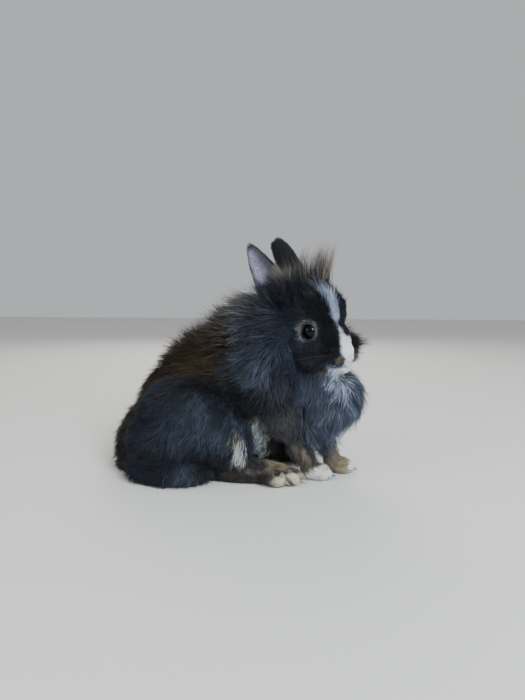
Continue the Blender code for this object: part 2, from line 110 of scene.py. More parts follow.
# Masses: a centre, three radii and a pitch in degrees
TORSO = [
    ((-64, 0, 13), (52, 43, 55), 0),
    ((-33, 0, 54), (73, 41, 55), -38),
    ((-1, 0, 88), (38, 33, 41), 0),
    ((8, 0, 66), (46, 35, 50), 0),
    ((-8, 0, 32), (56, 33, 29), 0),
]
HAUNCH = [
    ((-36, 33, 45), (48, 23, 40), 14),
    ((-6, 37, 33), (26, 17, 26), 0),
    ((-54, 33, 30), (38, 26, 31), 0),
    ((-51, 38, 8), (40, 28, 18), 0),
]
HIND_FOOT = [
    ((-20, 0, 8), (14, 9, 9), 0),
    ((8, 0, 9), (34, 11, 11), -4),
    ((32, 0, 8), (16, 12, 10), 0),
]
HIND_TOES = [(43, -9.2), (54, -3.4), (56, 3.2), (49, 8.6)]
FORELEG = [((-30, 7, 56), (19, 12, 26), -20), ((-16, 3, 27), (10, 9, 24), -32)]
FOREPAW = [((-7, 0, 9), (8, 7, 10), 0), ((0, 0, 6), (11, 8, 8), 0)]
FORE_TOES = [(-5.6, 8), (-1.9, 11), (1.9, 11), (5.6, 8)]
TAIL = [((-98, 3, 27), (17, 13, 15), 0), ((-108, 5, 19), (12, 11, 15), 0)]
CHEST = [((63, -1, 66), (38, 33, 33), 0), ((54, -1, 50), (32, 29, 24), 0)]
NECK = [
    ((20, 0, 116), (34, 31, 31), 0),
    ((23, 0, 95), (34, 40, 34), 0),
    ((26, 0, 76), (39, 41, 31), 0),
]
HEAD = [
    ((-13, 0, 9), (29, 22, 24), 0),
    ((3, 0, 15), (20, 17, 20), 20),
    ((11.5, 0, -3), (19, 12.5, 14), 40),
    ((22.5, 0, -15.5), (9.0, 8.0, 8.5), 0),
    ((19.5, 0, -29), (8.5, 6.5, 4.8), 12),
    ((6, 0, -27), (18, 13, 10), 12),
    ((-8, 0, -18), (26, 17, 18), 10),
]
NOSE = (29.0, 0.0, -15.0)
MUZZLE_AT = (22, 0, -20)
MUZZLE_REACH = 24
NOSTRIL_LINE = [
    (28.5, 2.0, -24.0), (27.5, 4.0, -23.5), (26.6, 6.0, -22.6), (25.4, 8.0, -21.6), (24.4, 9.5, -21.2),
]
# How far behind and before that line its dark mark, reddish skin with painted shade, and its bare ribbon run
NOSTRIL_SPAN = (-0.5, 2.5)
NOSTRIL_RIBBON = [(x + out, y, z) for x, y, z in NOSTRIL_LINE for out in NOSTRIL_SPAN]
# Depth and width of the lines pressed into the face
MOUTH_GROOVE = (1.2, 0.8)
CLEFT_GROOVE = (0.9, 0.7)
NOSTRIL_GROOVE = (1.5, 0.85)
# The swell beside a groove: its height as a share of the depth, and its place and size in widths
SWELL = 0.28
SWELL_AT = 2.4
SWELL_SIZE = 0.9
MOUTH_HEIGHT = -27.2
MOUTH_TURN = 84
CLEFT_HEIGHTS = (-24.0, -25.0, -26.0, -27.0)
# The lips' own padding, which only the skin has
LIPS = [((21.5, 0, -24.0), (8.8, 7.0, 5.0), 0), ((20.0, 0, -29.6), (8.4, 6.0, 4.4), 0)]
HEAD_PAIRED = [
    ((-4, 11, -14), (20, 12, 18), 20),
    ((18.5, 6, -19.5), (11, 7.5, 7.5), 14),
    ((-2, 12, 5), (12, 7.5, 10), 20),
]


def tilt(pitch):
    return Matrix.Rotation(math.radians(pitch), 4, "Y")


HEAD_FRAME = Matrix.Translation(Vector(HEAD_AT)) @ Matrix.Rotation(math.radians(HEAD_YAW), 4, "Z")
BODY_FRAME = Matrix.Identity(4)


def ear_frame(side):
    root = Matrix.Translation((EAR_ROOT[0], SIDES[side] * EAR_ROOT[1], EAR_ROOT[2]))
    splay = Matrix.Rotation(math.radians(-SIDES[side] * EAR_SPLAY[side]), 4, "X")
    turn = Matrix.Rotation(math.radians(SIDES[side] * EAR_TURN), 4, "Z")
    return HEAD_FRAME @ root @ splay @ tilt(-EAR_LEAN_BACK[side]) @ turn


def ear_axis(side, axis):
    """One axis of the ear's frame: 1 goes across the ear, and 2 up along it."""
    return np.array(ear_frame(side))[:3, axis]


def mirrored(masses, side):
    return [((at[0], side * at[1], at[2]), radii, pitch) for at, radii, pitch in masses]


def body_groups():
    """Every group of masses: its name, its frame and its masses."""
    groups = [("torso", BODY_FRAME, TORSO), ("tail", BODY_FRAME, TAIL), ("chest", BODY_FRAME, CHEST)]
    groups.append(("neck", BODY_FRAME, NECK))
    head = HEAD + LIPS
    for name, side in SIDES.items():
        head += mirrored(HEAD_PAIRED, side)
        groups.append(("haunch", BODY_FRAME, mirrored(HAUNCH, side)))
        toes = [((tip - 9.5, -side * offset, 7.0), (11.0, 5.0, 6.8), 18) for tip, offset in HIND_TOES]
        groups.append(("hind_foot", Matrix.Translation((0, side * HIND_FOOT_Y, 0)), HIND_FOOT + toes))
        place = Matrix.Translation((*FOREPAW_AT[name], 0))
        toes = [((reach - 5, offset, 4.2), (7.0, 2.9, 4.6), 0) for offset, reach in FORE_TOES]
        groups.append(("forepaw", place, FOREPAW + toes))
        groups.append(("foreleg", place, mirrored(FORELEG, side)))
    groups.append(("head", HEAD_FRAME, head))
    return groups


# How far the skin lies inside the masses
INSET = {
    "torso": 4.5, "haunch": 4.5, "neck": 6.5, "chest": 6.5, "tail": 4.0,
    "head": 1.6, "hind_foot": 1.2, "forepaw": 1.0, "foreleg": 1.5,
}
# How much each part of the skin is smoothed
SMOOTH = {
    "torso": 1.0, "haunch": 1.0, "neck": 1.0, "chest": 1.0, "tail": 1.0,
    "head": 0.35, "hind_foot": 0.25, "forepaw": 0.2, "foreleg": 0.5, "ear": 0.3,
}
# Regions whose coats run into one another
SOFT_REGIONS = ("torso", "haunch", "neck", "chest", "tail")
# How far regions blend beside a limb, and how much farther once they are this far from it
BLEND = (2.2, 3.0)
LIMB_REACH = (1, 8)


# Numbers over many points

def to_row(points):
    """Points in the body's frame and millimetres, in the row's frame and metres."""
    return (points + ORIGIN_SHIFT) * MM


def local(points, matrix):
    """Points of the body's frame, in this frame."""
    inverse = np.array(matrix.inverted())
    return points @ inverse[:3, :3].T + inverse[:3, 3]


def turned(vectors, matrix):
    return vectors @ np.array(matrix)[:3, :3].T


def unit(vectors):
    return vectors / np.maximum(np.linalg.norm(vectors, axis=-1, keepdims=True), 1e-9)


def ramp(values, low, high):
    """Goes smoothly from 0 at low to 1 at high."""
    t = np.clip((values - low) / (high - low), 0.0, 1.0)
    return t * t * (3 - 2 * t)


def fade(values, low, high):
    """Goes smoothly from 1 at low to 0 at high."""
    return 1 - ramp(values, low, high)


def mixed(a, b, share):
    return a + (b - a) * np.asarray(share)[..., None]


def rows(*columns):
    """An array with these columns, each of which is an array or one number."""
    return np.stack(np.broadcast_arrays(*columns), 1)


def varied(values, spread, rng):
    """The values, each larger or smaller by chance."""
    return values * np.exp(rng.normal(0, spread, len(values)))


def noise(points, size, strength, seed):
    """A smooth field of about this strength, whose waves are about this many millimetres long."""
    rng = np.random.default_rng(seed)
    total = np.zeros(len(points))
    for _ in range(NOISE_WAVES):
        way = rng.normal(size=3)
        way *= 2 * math.pi / (size * rng.uniform(0.6, 1.6)) / np.linalg.norm(way)
        total += np.sin(points @ way + rng.uniform(0, 2 * math.pi))
    return total / math.sqrt(NOISE_WAVES) * 1.2 * strength


def colour(red, green, blue):
    """A colour from the screen's 0 to 255, in the linear values that shaders use."""
    return np.array([(value / 255) ** 2.2 for value in (red, green, blue)])


def distance_to(points, masses, matrix):
    """About how far the points are outside the masses, in millimetres."""
    best = np.full(len(points), 1e9)
    for centre, radii, pitch in masses:
        own = local(points, matrix @ Matrix.Translation(Vector(centre)) @ tilt(pitch)) / radii
        best = np.minimum(best, (np.linalg.norm(own, axis=1) - 1) * np.mean(radii))
    return best


def distance_to_line(points, line):
    """How far the points are from a line of (x, y, z, radius), as a share of its radius there."""
    line = np.array(line, float)
    if len(line) == 1:
        return np.linalg.norm(points - line[0, :3], axis=1) / line[0, 3]
    best = np.full(len(points), 1e9)
    for a, b in zip(line, line[1:]):
        along = b[:3] - a[:3]
        share = np.clip((points - a[:3]) @ along / (along @ along), 0, 1)
        near = a[:3] + share[:, None] * along
        radius = a[3] + share * (b[3] - a[3])
        best = np.minimum(best, np.linalg.norm(points - near, axis=1) / radius)
    return best


# Meshes

def read(items, field, width, kind=np.float32):
    """One field of every item, as an array with a row of this width for each."""
    values = np.empty(len(items) * width, kind)
    items.foreach_get(field, values)
    return values.reshape(-1, width)


def points_of(mesh):
    return read(mesh.vertices, "co", 3).astype(float)


def normals_of(mesh):
    return read(mesh.vertex_normals, "vector", 3).astype(float)


def set_points(mesh, points):
    mesh.vertices.foreach_set("co", points.astype(np.float32).ravel())
    mesh.update()


def set_tints(mesh, tints):
    layer = mesh.color_attributes.new("tint", "FLOAT_COLOR", "POINT")
    values = np.ones((len(tints), 4), np.float32)
    values[:, :3] = np.clip(tints, 0, 1)
    layer.data.foreach_set("color", values.ravel())


def shade_smooth(mesh):
    mesh.polygons.foreach_set("use_smooth", np.ones(len(mesh.polygons), bool))


def finish_mesh(mesh):
    """Sets a mesh of the body's frame in the row, and shades it smooth."""
    set_points(mesh, to_row(points_of(mesh)))
    shade_smooth(mesh)


def linked(name, data):
    """A new object in the scene, with this mesh, camera or light."""
    obj = bpy.data.objects.new(name, data)
    bpy.context.scene.collection.objects.link(obj)
    return obj


def finished_mesh(name, bm):
    """A new object with this bmesh, which is freed."""
    mesh = bpy.data.meshes.new(name)
    bm.to_mesh(mesh)
    bm.free()
    return linked(name, mesh)


def apply_modifiers(obj):
    bpy.context.view_layer.update()
    graph = bpy.context.evaluated_depsgraph_get()
    mesh = bpy.data.meshes.new_from_object(obj.evaluated_get(graph))
    obj.modifiers.clear()
    obj.data = mesh


def unwrap(obj):
    """Unwraps the mesh in the map that the export bakes to."""
    bpy.ops.object.select_all(action="DESELECT")
    bpy.context.view_layer.objects.active = obj
    obj.select_set(True)
    bpy.ops.object.mode_set(mode="EDIT")
    bpy.ops.mesh.select_all(action="SELECT")
    bpy.ops.uv.smart_project(angle_limit=math.radians(70), island_margin=0.002)
    bpy.ops.object.mode_set(mode="OBJECT")
    obj.data.uv_layers[0].name = BAKE_MAP


# The skin

def leaf_width(side, along):
    """The ear's width at this share of its length: narrow at the root, and pointed or round at the tip."""
    widest = EAR_WIDEST[side]
    width = EAR_WIDTH[side] * (0.45 + 0.55 * math.sin(math.pi / 2 * min(along / widest, 1.0)))
    if along > widest:
        fullness, taper = EAR_TIP[side]
        width *= (1 - ((along - widest) / (1.03 - widest)) ** fullness) ** taper
    return width


def cup_at(side, along):
    """The radius of the ear's cup, and half the arc that it goes round."""
    closed, opened = CUP_ARC
    half_arc = math.radians(closed + (opened - closed) * min(along / CUP_OPENS, 1.0))
    return leaf_width(side, along) / 2 / max(math.sin(min(half_arc, math.pi / 2)), 0.4), half_arc


def ear_shell(side):
    """A leaf rolled into a cup: nearly a tube at its root, and open to the side above."""
    bm = bmesh.new()
    bmesh.ops.create_grid(bm, x_segments=EAR_GRID[0], y_segments=EAR_GRID[1], size=1.0)
    for vert in bm.verts:
        across, along = vert.co.x, (vert.co.y + 1) / 2
        radius, half_arc = cup_at(side, along)
        angle = across * half_arc
        bend = (radius * (1 - math.cos(angle)), radius * math.sin(angle))
        vert.co = ear_frame(side) @ Vector((*bend, along * EAR_LENGTH[side]))
    return finished_mesh("ear", bm)


def fused_skin():
    """One closed surface over all the masses and both ears."""
    bm = bmesh.new()
    for name, matrix, masses in body_groups():
        for centre, radii, pitch in masses:
            sizes = [radius - INSET[name] for radius in radii]
            place = matrix @ Matrix.Translation(Vector(centre)) @ tilt(pitch) @ Matrix.Diagonal((*sizes, 1))
            bmesh.ops.create_icosphere(bm, subdivisions=4, radius=1.0, matrix=place)
    for side in SIDES:
        ear = ear_shell(side)
        shell = ear.modifiers.new("thickness", "SOLIDIFY")
        shell.thickness = EAR_THICK
        shell.offset = 0
        apply_modifiers(ear)
        bm.from_mesh(ear.data)
        bpy.data.objects.remove(ear)
    skin = finished_mesh("skin", bm)
    remesh = skin.modifiers.new("fuse", "REMESH")
    remesh.mode = "VOXEL"
    remesh.voxel_size = SKIN_VOXEL
    apply_modifiers(skin)
    return skin


def relaxed(points, edges, strength, steps):
    """The points after each has moved towards its neighbours' middle, as strongly as its strength says."""
    count = len(points)
    a, b = edges[:, 0], edges[:, 1]
    degree = np.bincount(a, minlength=count) + np.bincount(b, minlength=count)
    for _ in range(steps):
        middle = np.empty_like(points)
        for axis in range(3):
            middle[:, axis] = np.bincount(a, points[b, axis], count) + np.bincount(b, points[a, axis], count)
        middle /= degree[:, None]
        points = points + (middle - points) * (strength * 0.5)[:, None]
    return points


def ear_place(points):
    """How much each point belongs to an ear, its place in that ear's frame, and the ear's side."""
    weight = np.zeros(len(points))
    place = np.zeros_like(points)
    sides = np.zeros(len(points))
    for name, side in SIDES.items():
        own = local(points, ear_frame(name))
        x, y, z = own.T
        inside = (np.abs(y) < EAR_WIDTH[name] / 2 + EAR_ROOM) & (x > -EAR_ROOM) & (x < EAR_DEPTH)
        share = ramp(z, *EAR_BEGINS) * inside * (z < EAR_LENGTH[name] + EAR_ROOM)
        better = share > weight
        weight = np.where(better, share, weight)
        place[better] = own[better]
        sides[better] = side
    return weight, place, sides


def region_weights(points):
    """For each region of the body, how much each point belongs to it."""
    distances = {}
    for name, matrix, masses in body_groups():
        found = distance_to(points, masses, matrix) + INSET[name]
        distances[name] = np.minimum(distances.get(name, 1e9), found)
    least = np.min(list(distances.values()), axis=0)
    limbs = np.min([found for name, found in distances.items() if name not in SOFT_REGIONS], axis=0)
    blend = BLEND[0] + BLEND[1] * ramp(limbs - least, *LIMB_REACH)
    weights = {name: np.exp(-(found - least) / blend) for name, found in distances.items()}
    ear, _, _ = ear_place(points)
    total = sum(weights.values())
    weights = {name: weight / total * (1 - ear) for name, weight in weights.items()}
    weights["ear"] = ear
    return weights


def blended(table, weights):
    return sum(table[name] * weight for name, weight in weights.items())


def shape_eyelids(points):
    """Opens the skin over each eye and lays a rim on the eyeball."""
    own = local(points, HEAD_FRAME)
    x, y, z = own.T
    out, radius = np.abs(y), np.hypot(x, z)
    opening = np.hypot(x / EYE_OPENING[0], z / EYE_OPENING[1])
    ball = EYE_HALF_WIDTH + np.sqrt(EYE_RADIUS ** 2 - np.minimum(radius, EYE_RADIUS - 0.1) ** 2)
    lid = ball + LID_OVER + LID_RIM * np.exp(-((opening - LID_RIM_AT) / LID_RIM_WIDTH) ** 2)
    lid = np.where(radius > LID_SLOPE, np.maximum(out, lid), lid)
    lid = np.where(opening < 1, EYE_HALF_WIDTH - EYE_SOCKET, lid)
    moved = out + (lid - out) * fade(radius, *LID_REACH)
    near = (radius < LID_REACH[1]) & (out > 4)
    own[:, 1] = np.where(near, moved * np.sign(y), y)
    return turned(own, HEAD_FRAME) + HEAD_AT


def face_lines(surface):
    """The lines of the mouth, the cleft and the nostrils, each with its depth and width."""
    def hit(start, aim):
        origin = HEAD_FRAME @ Vector(start)
        way = (HEAD_FRAME @ Vector(aim) - origin).normalized()
        return surface.ray_cast(origin, way)[0]

    mouth = []
    for turn in range(-MOUTH_TURN, MOUTH_TURN + 1, 7):
        angle = math.radians(turn)
        drop = MOUTH_HEIGHT - 1.2 * (abs(turn) / MOUTH_TURN) ** 1.5
        mouth.append(hit((12, 0, drop), (12 + 30 * math.cos(angle), 30 * math.sin(angle), drop)))
    cleft = [hit((16, 0, z), (60, 0, z)) for z in CLEFT_HEIGHTS]
    lines = [(mouth, *MOUTH_GROOVE), (cleft, *CLEFT_GROOVE)]
    for side in SIDES.values():
        nostril = [hit((19, 0, z), (x, side * y, z)) for x, y, z in NOSTRIL_LINE]
        lines.append((nostril, *NOSTRIL_GROOVE))
    return lines


def shape_face(points, normals, surface):
    """Presses the lines of the mouth and nose in, and lets the lips swell beside them."""
    from_muzzle = np.linalg.norm(local(points, HEAD_FRAME) - MUZZLE_AT, axis=1)
    near = np.where(from_muzzle < MUZZLE_REACH)[0]
    for line, depth, width in face_lines(surface):
        line = [(*point, width) for point in line if point]
        share = distance_to_line(points[near], line)
        swell = SWELL * np.exp(-((share - SWELL_AT) / SWELL_SIZE) ** 2)
        points[near] += normals[near] * (depth * (swell - np.exp(-share ** 2)))[:, None]
    return points


def make_skin():
    skin = fused_skin()
    mesh = skin.data
    points = points_of(mesh)
    edges = read(mesh.edges, "vertices", 2, np.int32)
    weights = region_weights(points)
    points = relaxed(points, edges, blended(SMOOTH, weights), SMOOTH_STEPS)
    set_points(mesh, points)
    surface = BVHTree.FromObject(skin, bpy.context.evaluated_depsgraph_get())
    points = shape_face(points, normals_of(mesh), surface)
    points = shape_eyelids(points)
    points[:, 2] = np.maximum(points[:, 2], FLOOR_CLEARANCE)
    set_points(mesh, points)
    unwrap(skin)
    return skin


# The coat's colours and markings, among them painted highlights and painted shade, shared by the skin and
# the tufts

BLACK = colour(12, 14, 20)
CHARCOAL = colour(42, 49, 63)
SLATE = colour(73, 83, 99)
BLUE_BLACK = colour(24, 28, 38)
BROWN = colour(52, 43, 32)
GOLD_BROWN = colour(68, 57, 39)
NAPE_BROWN = colour(104, 94, 80)
CREST_GREY = colour(120, 112, 104)
CREST_OLIVE = colour(86, 82, 76)
GOLD = colour(134, 122, 98)
TAN = colour(136, 126, 104)
CREAM = colour(216, 208, 184)
WHITE = colour(246, 251, 255)
BLUE_WHITE = colour(172, 186, 212)
PALE_GREY = colour(176, 184, 188)
RING_GREY = colour(108, 108, 110)
MANE_HIGHLIGHT_GREY = colour(88, 97, 114)
OLIVE_GREY = colour(98, 96, 88)
FRINGE = colour(158, 150, 140)
FRINGE_STRENGTH = {"right": 0.55, "left": 0.12}
EAR_SKIN = colour(146, 143, 164)
PINK = colour(196, 158, 150)
RIM = colour(18, 15, 16)
# The nostrils' reddish skin, darkened as painted shade in their openings
NOSTRIL_SKIN_AND_SHADE = colour(74, 54, 56)
# Painted shade for the gaps between the toes
TOE_GAP_SHADE = colour(52, 46, 42)

GROUND = {
    "torso": colour(34, 30, 27), "haunch": colour(40, 46, 57), "neck": colour(50, 56, 69),
    "chest": colour(76, 84, 101), "tail": colour(40, 37, 37), "head": colour(25, 28, 38),
    "hind_foot": colour(76, 72, 68), "forepaw": colour(148, 139, 120), "foreleg": colour(72, 72, 76),
    "ear": colour(36, 36, 42),
}


def both_sides(marks):
    """The markings of the right side, and the same ones on the left."""
    left = [(*mark[:4], [(x, -y, z, radius) for x, y, z, radius in mark[4]]) for mark in marks]
    return marks + left


BLAZE = [(7.5, -7.5, 36, 3.4), (11.5, -9.5, 31, 4.2), (17.6, -10, 19.3, 3.4), (20.5, -6, 6.7, 2.3)]
# Each marking: its colour, strength, softness, raggedness, and a line of (x, y, z, radius) in a frame
HEAD_MARKS = both_sides([
    (CHARCOAL, 0.85, 0.5, 0.4, [(-22, -18, -4, 18), (-10, -18, -22, 16), (4, -17, -26, 11)]),
    (BLACK, 0.85, 0.5, 0.2, [(10, -13, 14, 10), (15, -12, -4, 8), (17, -11, -15, 7)]),
    (TAN, 0.45, 0.6, 0.5, [(24.5, -11, -21, 2.6), (22, -11, -24.5, 2.4)]),
    (TAN, 0.35, 0.5, 0.5, [(16, -8, -32, 4.0), (6, -11, -35, 4.0)]),
]) + [
    (CREST_OLIVE, 0.7, 0.5, 0.3, [(-28, 0, 32, 13), (-10, 0, 36, 10)]),
    (CREST_GREY, 0.8, 0.4, 0.3, [(-8, 0, 37, 8), (0, 0, 38, 12)]),
    (BLUE_WHITE, 0.9, 0.5, 0.2, BLAZE),
    (WHITE, 0.9, 0.4, 0.2, [(20.5, -6.5, 9, 1.4), (24.4, -6.5, -1.6, 2.4), (27, -4.5, -7, 4.4)]),
    (WHITE, 0.97, 0.3, 0.12, [(28, -1.5, -12, 7.0), (29, -1, -17, 7.2)]),
    (WHITE, 0.95, 0.35, 0.2, [(27, -2, -24, 5.4), (25, 0, -29.5, 5.8)]),
    (PINK, 0.55, 0.5, 0.05, [(30, 0, -21, 2.6)]),
] + both_sides([
    # The nostrils: their reddish skin, with painted shade in their openings
    (NOSTRIL_SKIN_AND_SHADE, 0.9, 0.5, 0.0, [(x, -y, z, 1.1) for x, y, z in NOSTRIL_RIBBON]),
    (RING_GREY, 0.75, 0.16, 0.1, [(-0.7, -18, 0.8, 8.3)]),
    (RIM, 0.95, 0.08, 0.0, [(0, -18, 0, 6.0)]),
])
BODY_MARKS = [
    (BROWN, 0.75, 0.5, 0.35, [(-16, 0, 114, 28), (-40, 0, 100, 34), (-82, 0, 62, 32), (-104, 0, 20, 24)]),
    (NAPE_BROWN, 0.6, 0.5, 0.4, [(4, 0, 148, 18), (-10, 0, 136, 13)]),
] + both_sides([
    (GOLD_BROWN, 0.7, 0.6, 0.45, [(-36, -28, 88, 8), (-22, -26, 97, 10), (-10, -32, 90, 8)]),
    # Painted highlight: paler bluish grey on the middle of the mane
    (MANE_HIGHLIGHT_GREY, 0.5, 0.7, 0.7, [(12, -34, 118, 10), (15, -38, 105, 13), (25, -42, 88, 11)]),
    (OLIVE_GREY, 0.5, 0.7, 0.6, [(6, -26, 134, 11), (-2, -32, 118, 12)]),
    (BLACK, 0.8, 0.6, 0.3, [(8, -36, 70, 15), (-26, -42, 76, 9)]),
    (BLUE_BLACK, 0.6, 0.6, 0.4, [(20, -40, 72, 12), (30, -36, 60, 10)]),
    # Painted highlight: paler bluish slate on the haunch's side
    (SLATE, 0.7, 0.7, 0.5, [(-24, -54, 48, 16), (-4, -50, 44, 11)]),
    # Painted shade: darker blue-black at the lower rear, behind the haunch
    (BLUE_BLACK, 0.7, 0.6, 0.3, [(-74, -52, 18, 22), (-50, -62, 8, 13)]),
    (SLATE, 0.5, 0.6, 0.4, [(-33, -60, 12, 10)]),
    (GOLD, 0.5, 0.4, 0.3, [(-42, -64, 5, 4)]),
    (GOLD, 0.7, 0.5, 0.4, [(30, -37, 17, 4.5), (39, -37, 16, 5.5)]),
    (BLACK, 0.7, 0.5, 0.2, [(37, -43, 11, 2.6), (47, -38, 12, 2.0)]),
    (CREAM, 0.92, 0.35, 0.25, [(38, -45, 5, 5.6), (42, -42, 4, 5.6)]),
    (CREAM, 0.92, 0.35, 0.25, [(48, -38, 6, 5.4), (54, -36, 5, 6.0), (55, -29, 5, 6.5)]),
    (BLACK, 0.6, 0.5, 0.9, [(-12, -42, 8, 11), (18, -42, 9, 10)]),
    # Painted shade in the gaps between the hind toes
    (TOE_GAP_SHADE, 0.85, 0.4, 0.1, [(34, -40, 12, 2.2), (44, -39.4, 7, 1.5), (48, -39.4, 2, 1.5)]),
    (TOE_GAP_SHADE, 0.85, 0.4, 0.1, [(44, -33.1, 11, 1.5), (58, -33.1, 2, 1.3)]),
]) + [
    # Painted highlights on the chest: a bright bluish-white patch, and a fainter one below it
    (BLUE_WHITE, 0.9, 0.5, 0.3, [(78, -22, 86, 6.0), (88, -18, 83, 7.0)]),
    (WHITE, 0.85, 0.5, 0.3, [(82, -20, 86, 4.6), (89, -17, 83, 4.8)]),
    (BLUE_WHITE, 0.65, 0.6, 0.35, [(80, -28, 66, 4.4), (74, -31, 56, 4.4)]),
    (BLUE_WHITE, 0.7, 0.6, 0.35, [(86, 16, 84, 5), (80, 24, 68, 4)]),
    (CREAM, 0.75, 0.5, 0.3, [(5, -50, 43, 3.4), (7, -49, 38, 3.6)]),
    (WHITE, 0.92, 0.6, 0.3, [(8, -48, 32, 3.8), (10, -43, 22, 3.8)]),
    (WHITE, 0.85, 0.45, 0.25, [(8, 49, 34, 4), (10, 44, 24, 3.8)]),
    (PALE_GREY, 0.9, 0.5, 0.35, [(18, -28, 48, 4), (20, -24, 36, 5), (22, -18, 22, 4)]),
    (TAN, 0.55, 0.5, 0.5, [(52, -24, 26, 4.5), (57, -21, 15, 6)]),
    (GOLD, 0.8, 0.4, 0.35, [(66, 6, 24, 9), (80, 5, 10, 11), (88, 6, 4, 8)]),
    (BLUE_BLACK, 0.7, 0.5, 0.5, [(56, -18, 28, 8), (64, -14, 18, 6)]),
    (WHITE, 0.95, 0.35, 0.2, [(61, -17, 4, 6.5), (76, -16, 3, 9)]),
    (CREAM, 0.7, 0.5, 0.2, [(71, -21, 6, 4.5)]),
    (WHITE, 0.9, 0.35, 0.15, [(91, 5, 5, 5)]),
]


def marked(colours, points, marks):
    for index, (tint, strength, softness, ragged, line) in enumerate(marks):
        share = distance_to_line(points, line) + noise(points, MARK_WAVES, ragged, MARK_SEED + index)
        colours = mixed(colours, tint, strength * fade(share, 1 - softness, 1 + softness))
    return colours


def ear_colours(points, normals, colours):
    """Pale skin inside the ear's cup, with painted shade towards its front and its root, and dark rims."""
    weight, place, sides = ear_place(points)
    steps = np.linspace(0, 1, 21)
    for name, side in SIDES.items():
        own = weight * (sides == side)
        along = place[:, 2] / EAR_LENGTH[name]
        radius = np.interp(along, steps, [cup_at(name, step)[0] for step in steps])
        half = np.interp(along, steps, [leaf_width(name, step) / 2 for step in steps])
        facing = local(normals + points, ear_frame(name)) - place
        to_axis = rows(radius - place[:, 0], -place[:, 1])
        inner = ramp(np.sum(unit(to_axis) * facing[:, :2], axis=1), 0.0, 0.5)
        across = place[:, 1] / np.maximum(half, 1)
        centred = fade(np.abs(across), 0.66, 1.0)
        share = own * inner * centred * fade(along, 0.86, 1.0)
        # Painted shade: the inner skin darker towards the ear's front and towards its root
        painted_shade = 1 - 0.55 * ramp(-side * across, -0.2, 0.8) - 0.3 * fade(along, 0.2, 0.5)
        colours = mixed(colours, EAR_SKIN * painted_shade[:, None], share)
        colours = mixed(colours, FRINGE, FRINGE_STRENGTH[name] * own * ear_fringe(place, name, side))
    return colours


def ear_fringe(place, name, side):
    """How much each point in the ear's frame belongs to the long hair on its front edge."""
    along = place[:, 2] / EAR_LENGTH[name]
    front = -side * place[:, 1] / (EAR_WIDTH[name] / 2)
    return ramp(front, 0.45, 0.8) * fade(along, 0.36, 0.56)


def coat_colours(points, normals, weights):
    """The colour of skin and coat at each point."""
    colours = sum(weight[:, None] * GROUND[name] for name, weight in weights.items())
    colours = marked(colours, points, BODY_MARKS)
    on_head = np.clip(weights["head"] * 1.6, 0, 1)
    colours = mixed(colours, marked(colours, local(points, HEAD_FRAME), HEAD_MARKS), on_head)
    return ear_colours(points, normals, colours)


# The lie and length of the coat

# Length and width are in millimetres, and lift is in degrees. Stray is how far single hairs leave the lie.
TRAITS = ("length", "lift", "width", "density", "droop", "stray")
REGIONS = {
    "torso": (12.0, 22.0, 0.36, 0.85, 0.15, 0.3),
    "haunch": (11.0, 24.0, 0.36, 1.05, 0.2, 0.34),
    "neck": (25.0, 25.0, 0.36, 1.0, 0.55, 0.2),
    "chest": (22.0, 22.0, 0.34, 1.15, 0.6, 0.18),
    "tail": (12.0, 26.0, 0.34, 0.8, 0.2, 0.3),
    "head": (5.0, 22.0, 0.26, 2.2, 0.15, 0.2),
    "hind_foot": (3.6, 15.0, 0.28, 2.4, 0.1, 0.2),
    "forepaw": (3.0, 15.0, 0.26, 2.8, 0.1, 0.2),
    "foreleg": (8.0, 16.0, 0.3, 1.2, 0.2, 0.2),
    "ear": (2.4, 13.0, 0.24, 1.9, 0.0, 0.15),
}
# The middle of the flank's zone, and how far out from the body's middle it begins
FLANK_AT = (9, 0, 32)
FLANK_OUT = 30
# How far out from the head's middle the zones round the eyes begin
EYE_OUT = 11
# Below this height the surfaces that face down are barer
UNDERSIDE_BELOW = 40
# The way that the coat lies on each region: forward, out to the side, and up
WAYS = {
    "torso": (-1.0, 0.12, -0.45),
    "haunch": (-0.55, 0.1, -1.0),
    "tail": (-1.0, 0.0, -0.3),
    "hind_foot": (1.0, 0.1, -0.25),
    "forepaw": (1.0, 0.0, -0.35),
    "foreleg": (0.35, 0.0, -1.0),
}


def lie_on_head(points):
    """The way that the coat lies on the head: away from the nose, and down on the cheeks."""
    own = local(points, HEAD_FRAME)
    from_nose = unit(own - NOSE)
    on_cheek = ramp(np.abs(own[:, 1]), 8, 18) * ramp(-own[:, 2], -2, 14)
    return turned(unit(from_nose + on_cheek[:, None] * (-0.1, 0, -0.55)), HEAD_FRAME)


def lie_of_coat(points, weights):
    """The way that the coat lies at each point."""
    away = unit(points - HEAD_AT)
    sign = np.sign(points[:, 1:2])
    sides = ear_place(points)[2]
    ear_way = np.zeros_like(points)
    for name, side in SIDES.items():
        ear_way[sides == side] = ear_axis(name, 2)
    ways = {name: unit(np.array((x, 0.0, z)) + sign * (0, out, 0)) for name, (x, out, z) in WAYS.items()}
    ways["neck"] = unit(away + (-0.3, 0, -0.55))
    ways["chest"] = unit(away + (-0.05, 0, -0.9))
    ways["head"] = lie_on_head(points)
    ways["ear"] = ear_way
    return unit(sum(weights[name][:, None] * ways[name] for name in REGIONS))


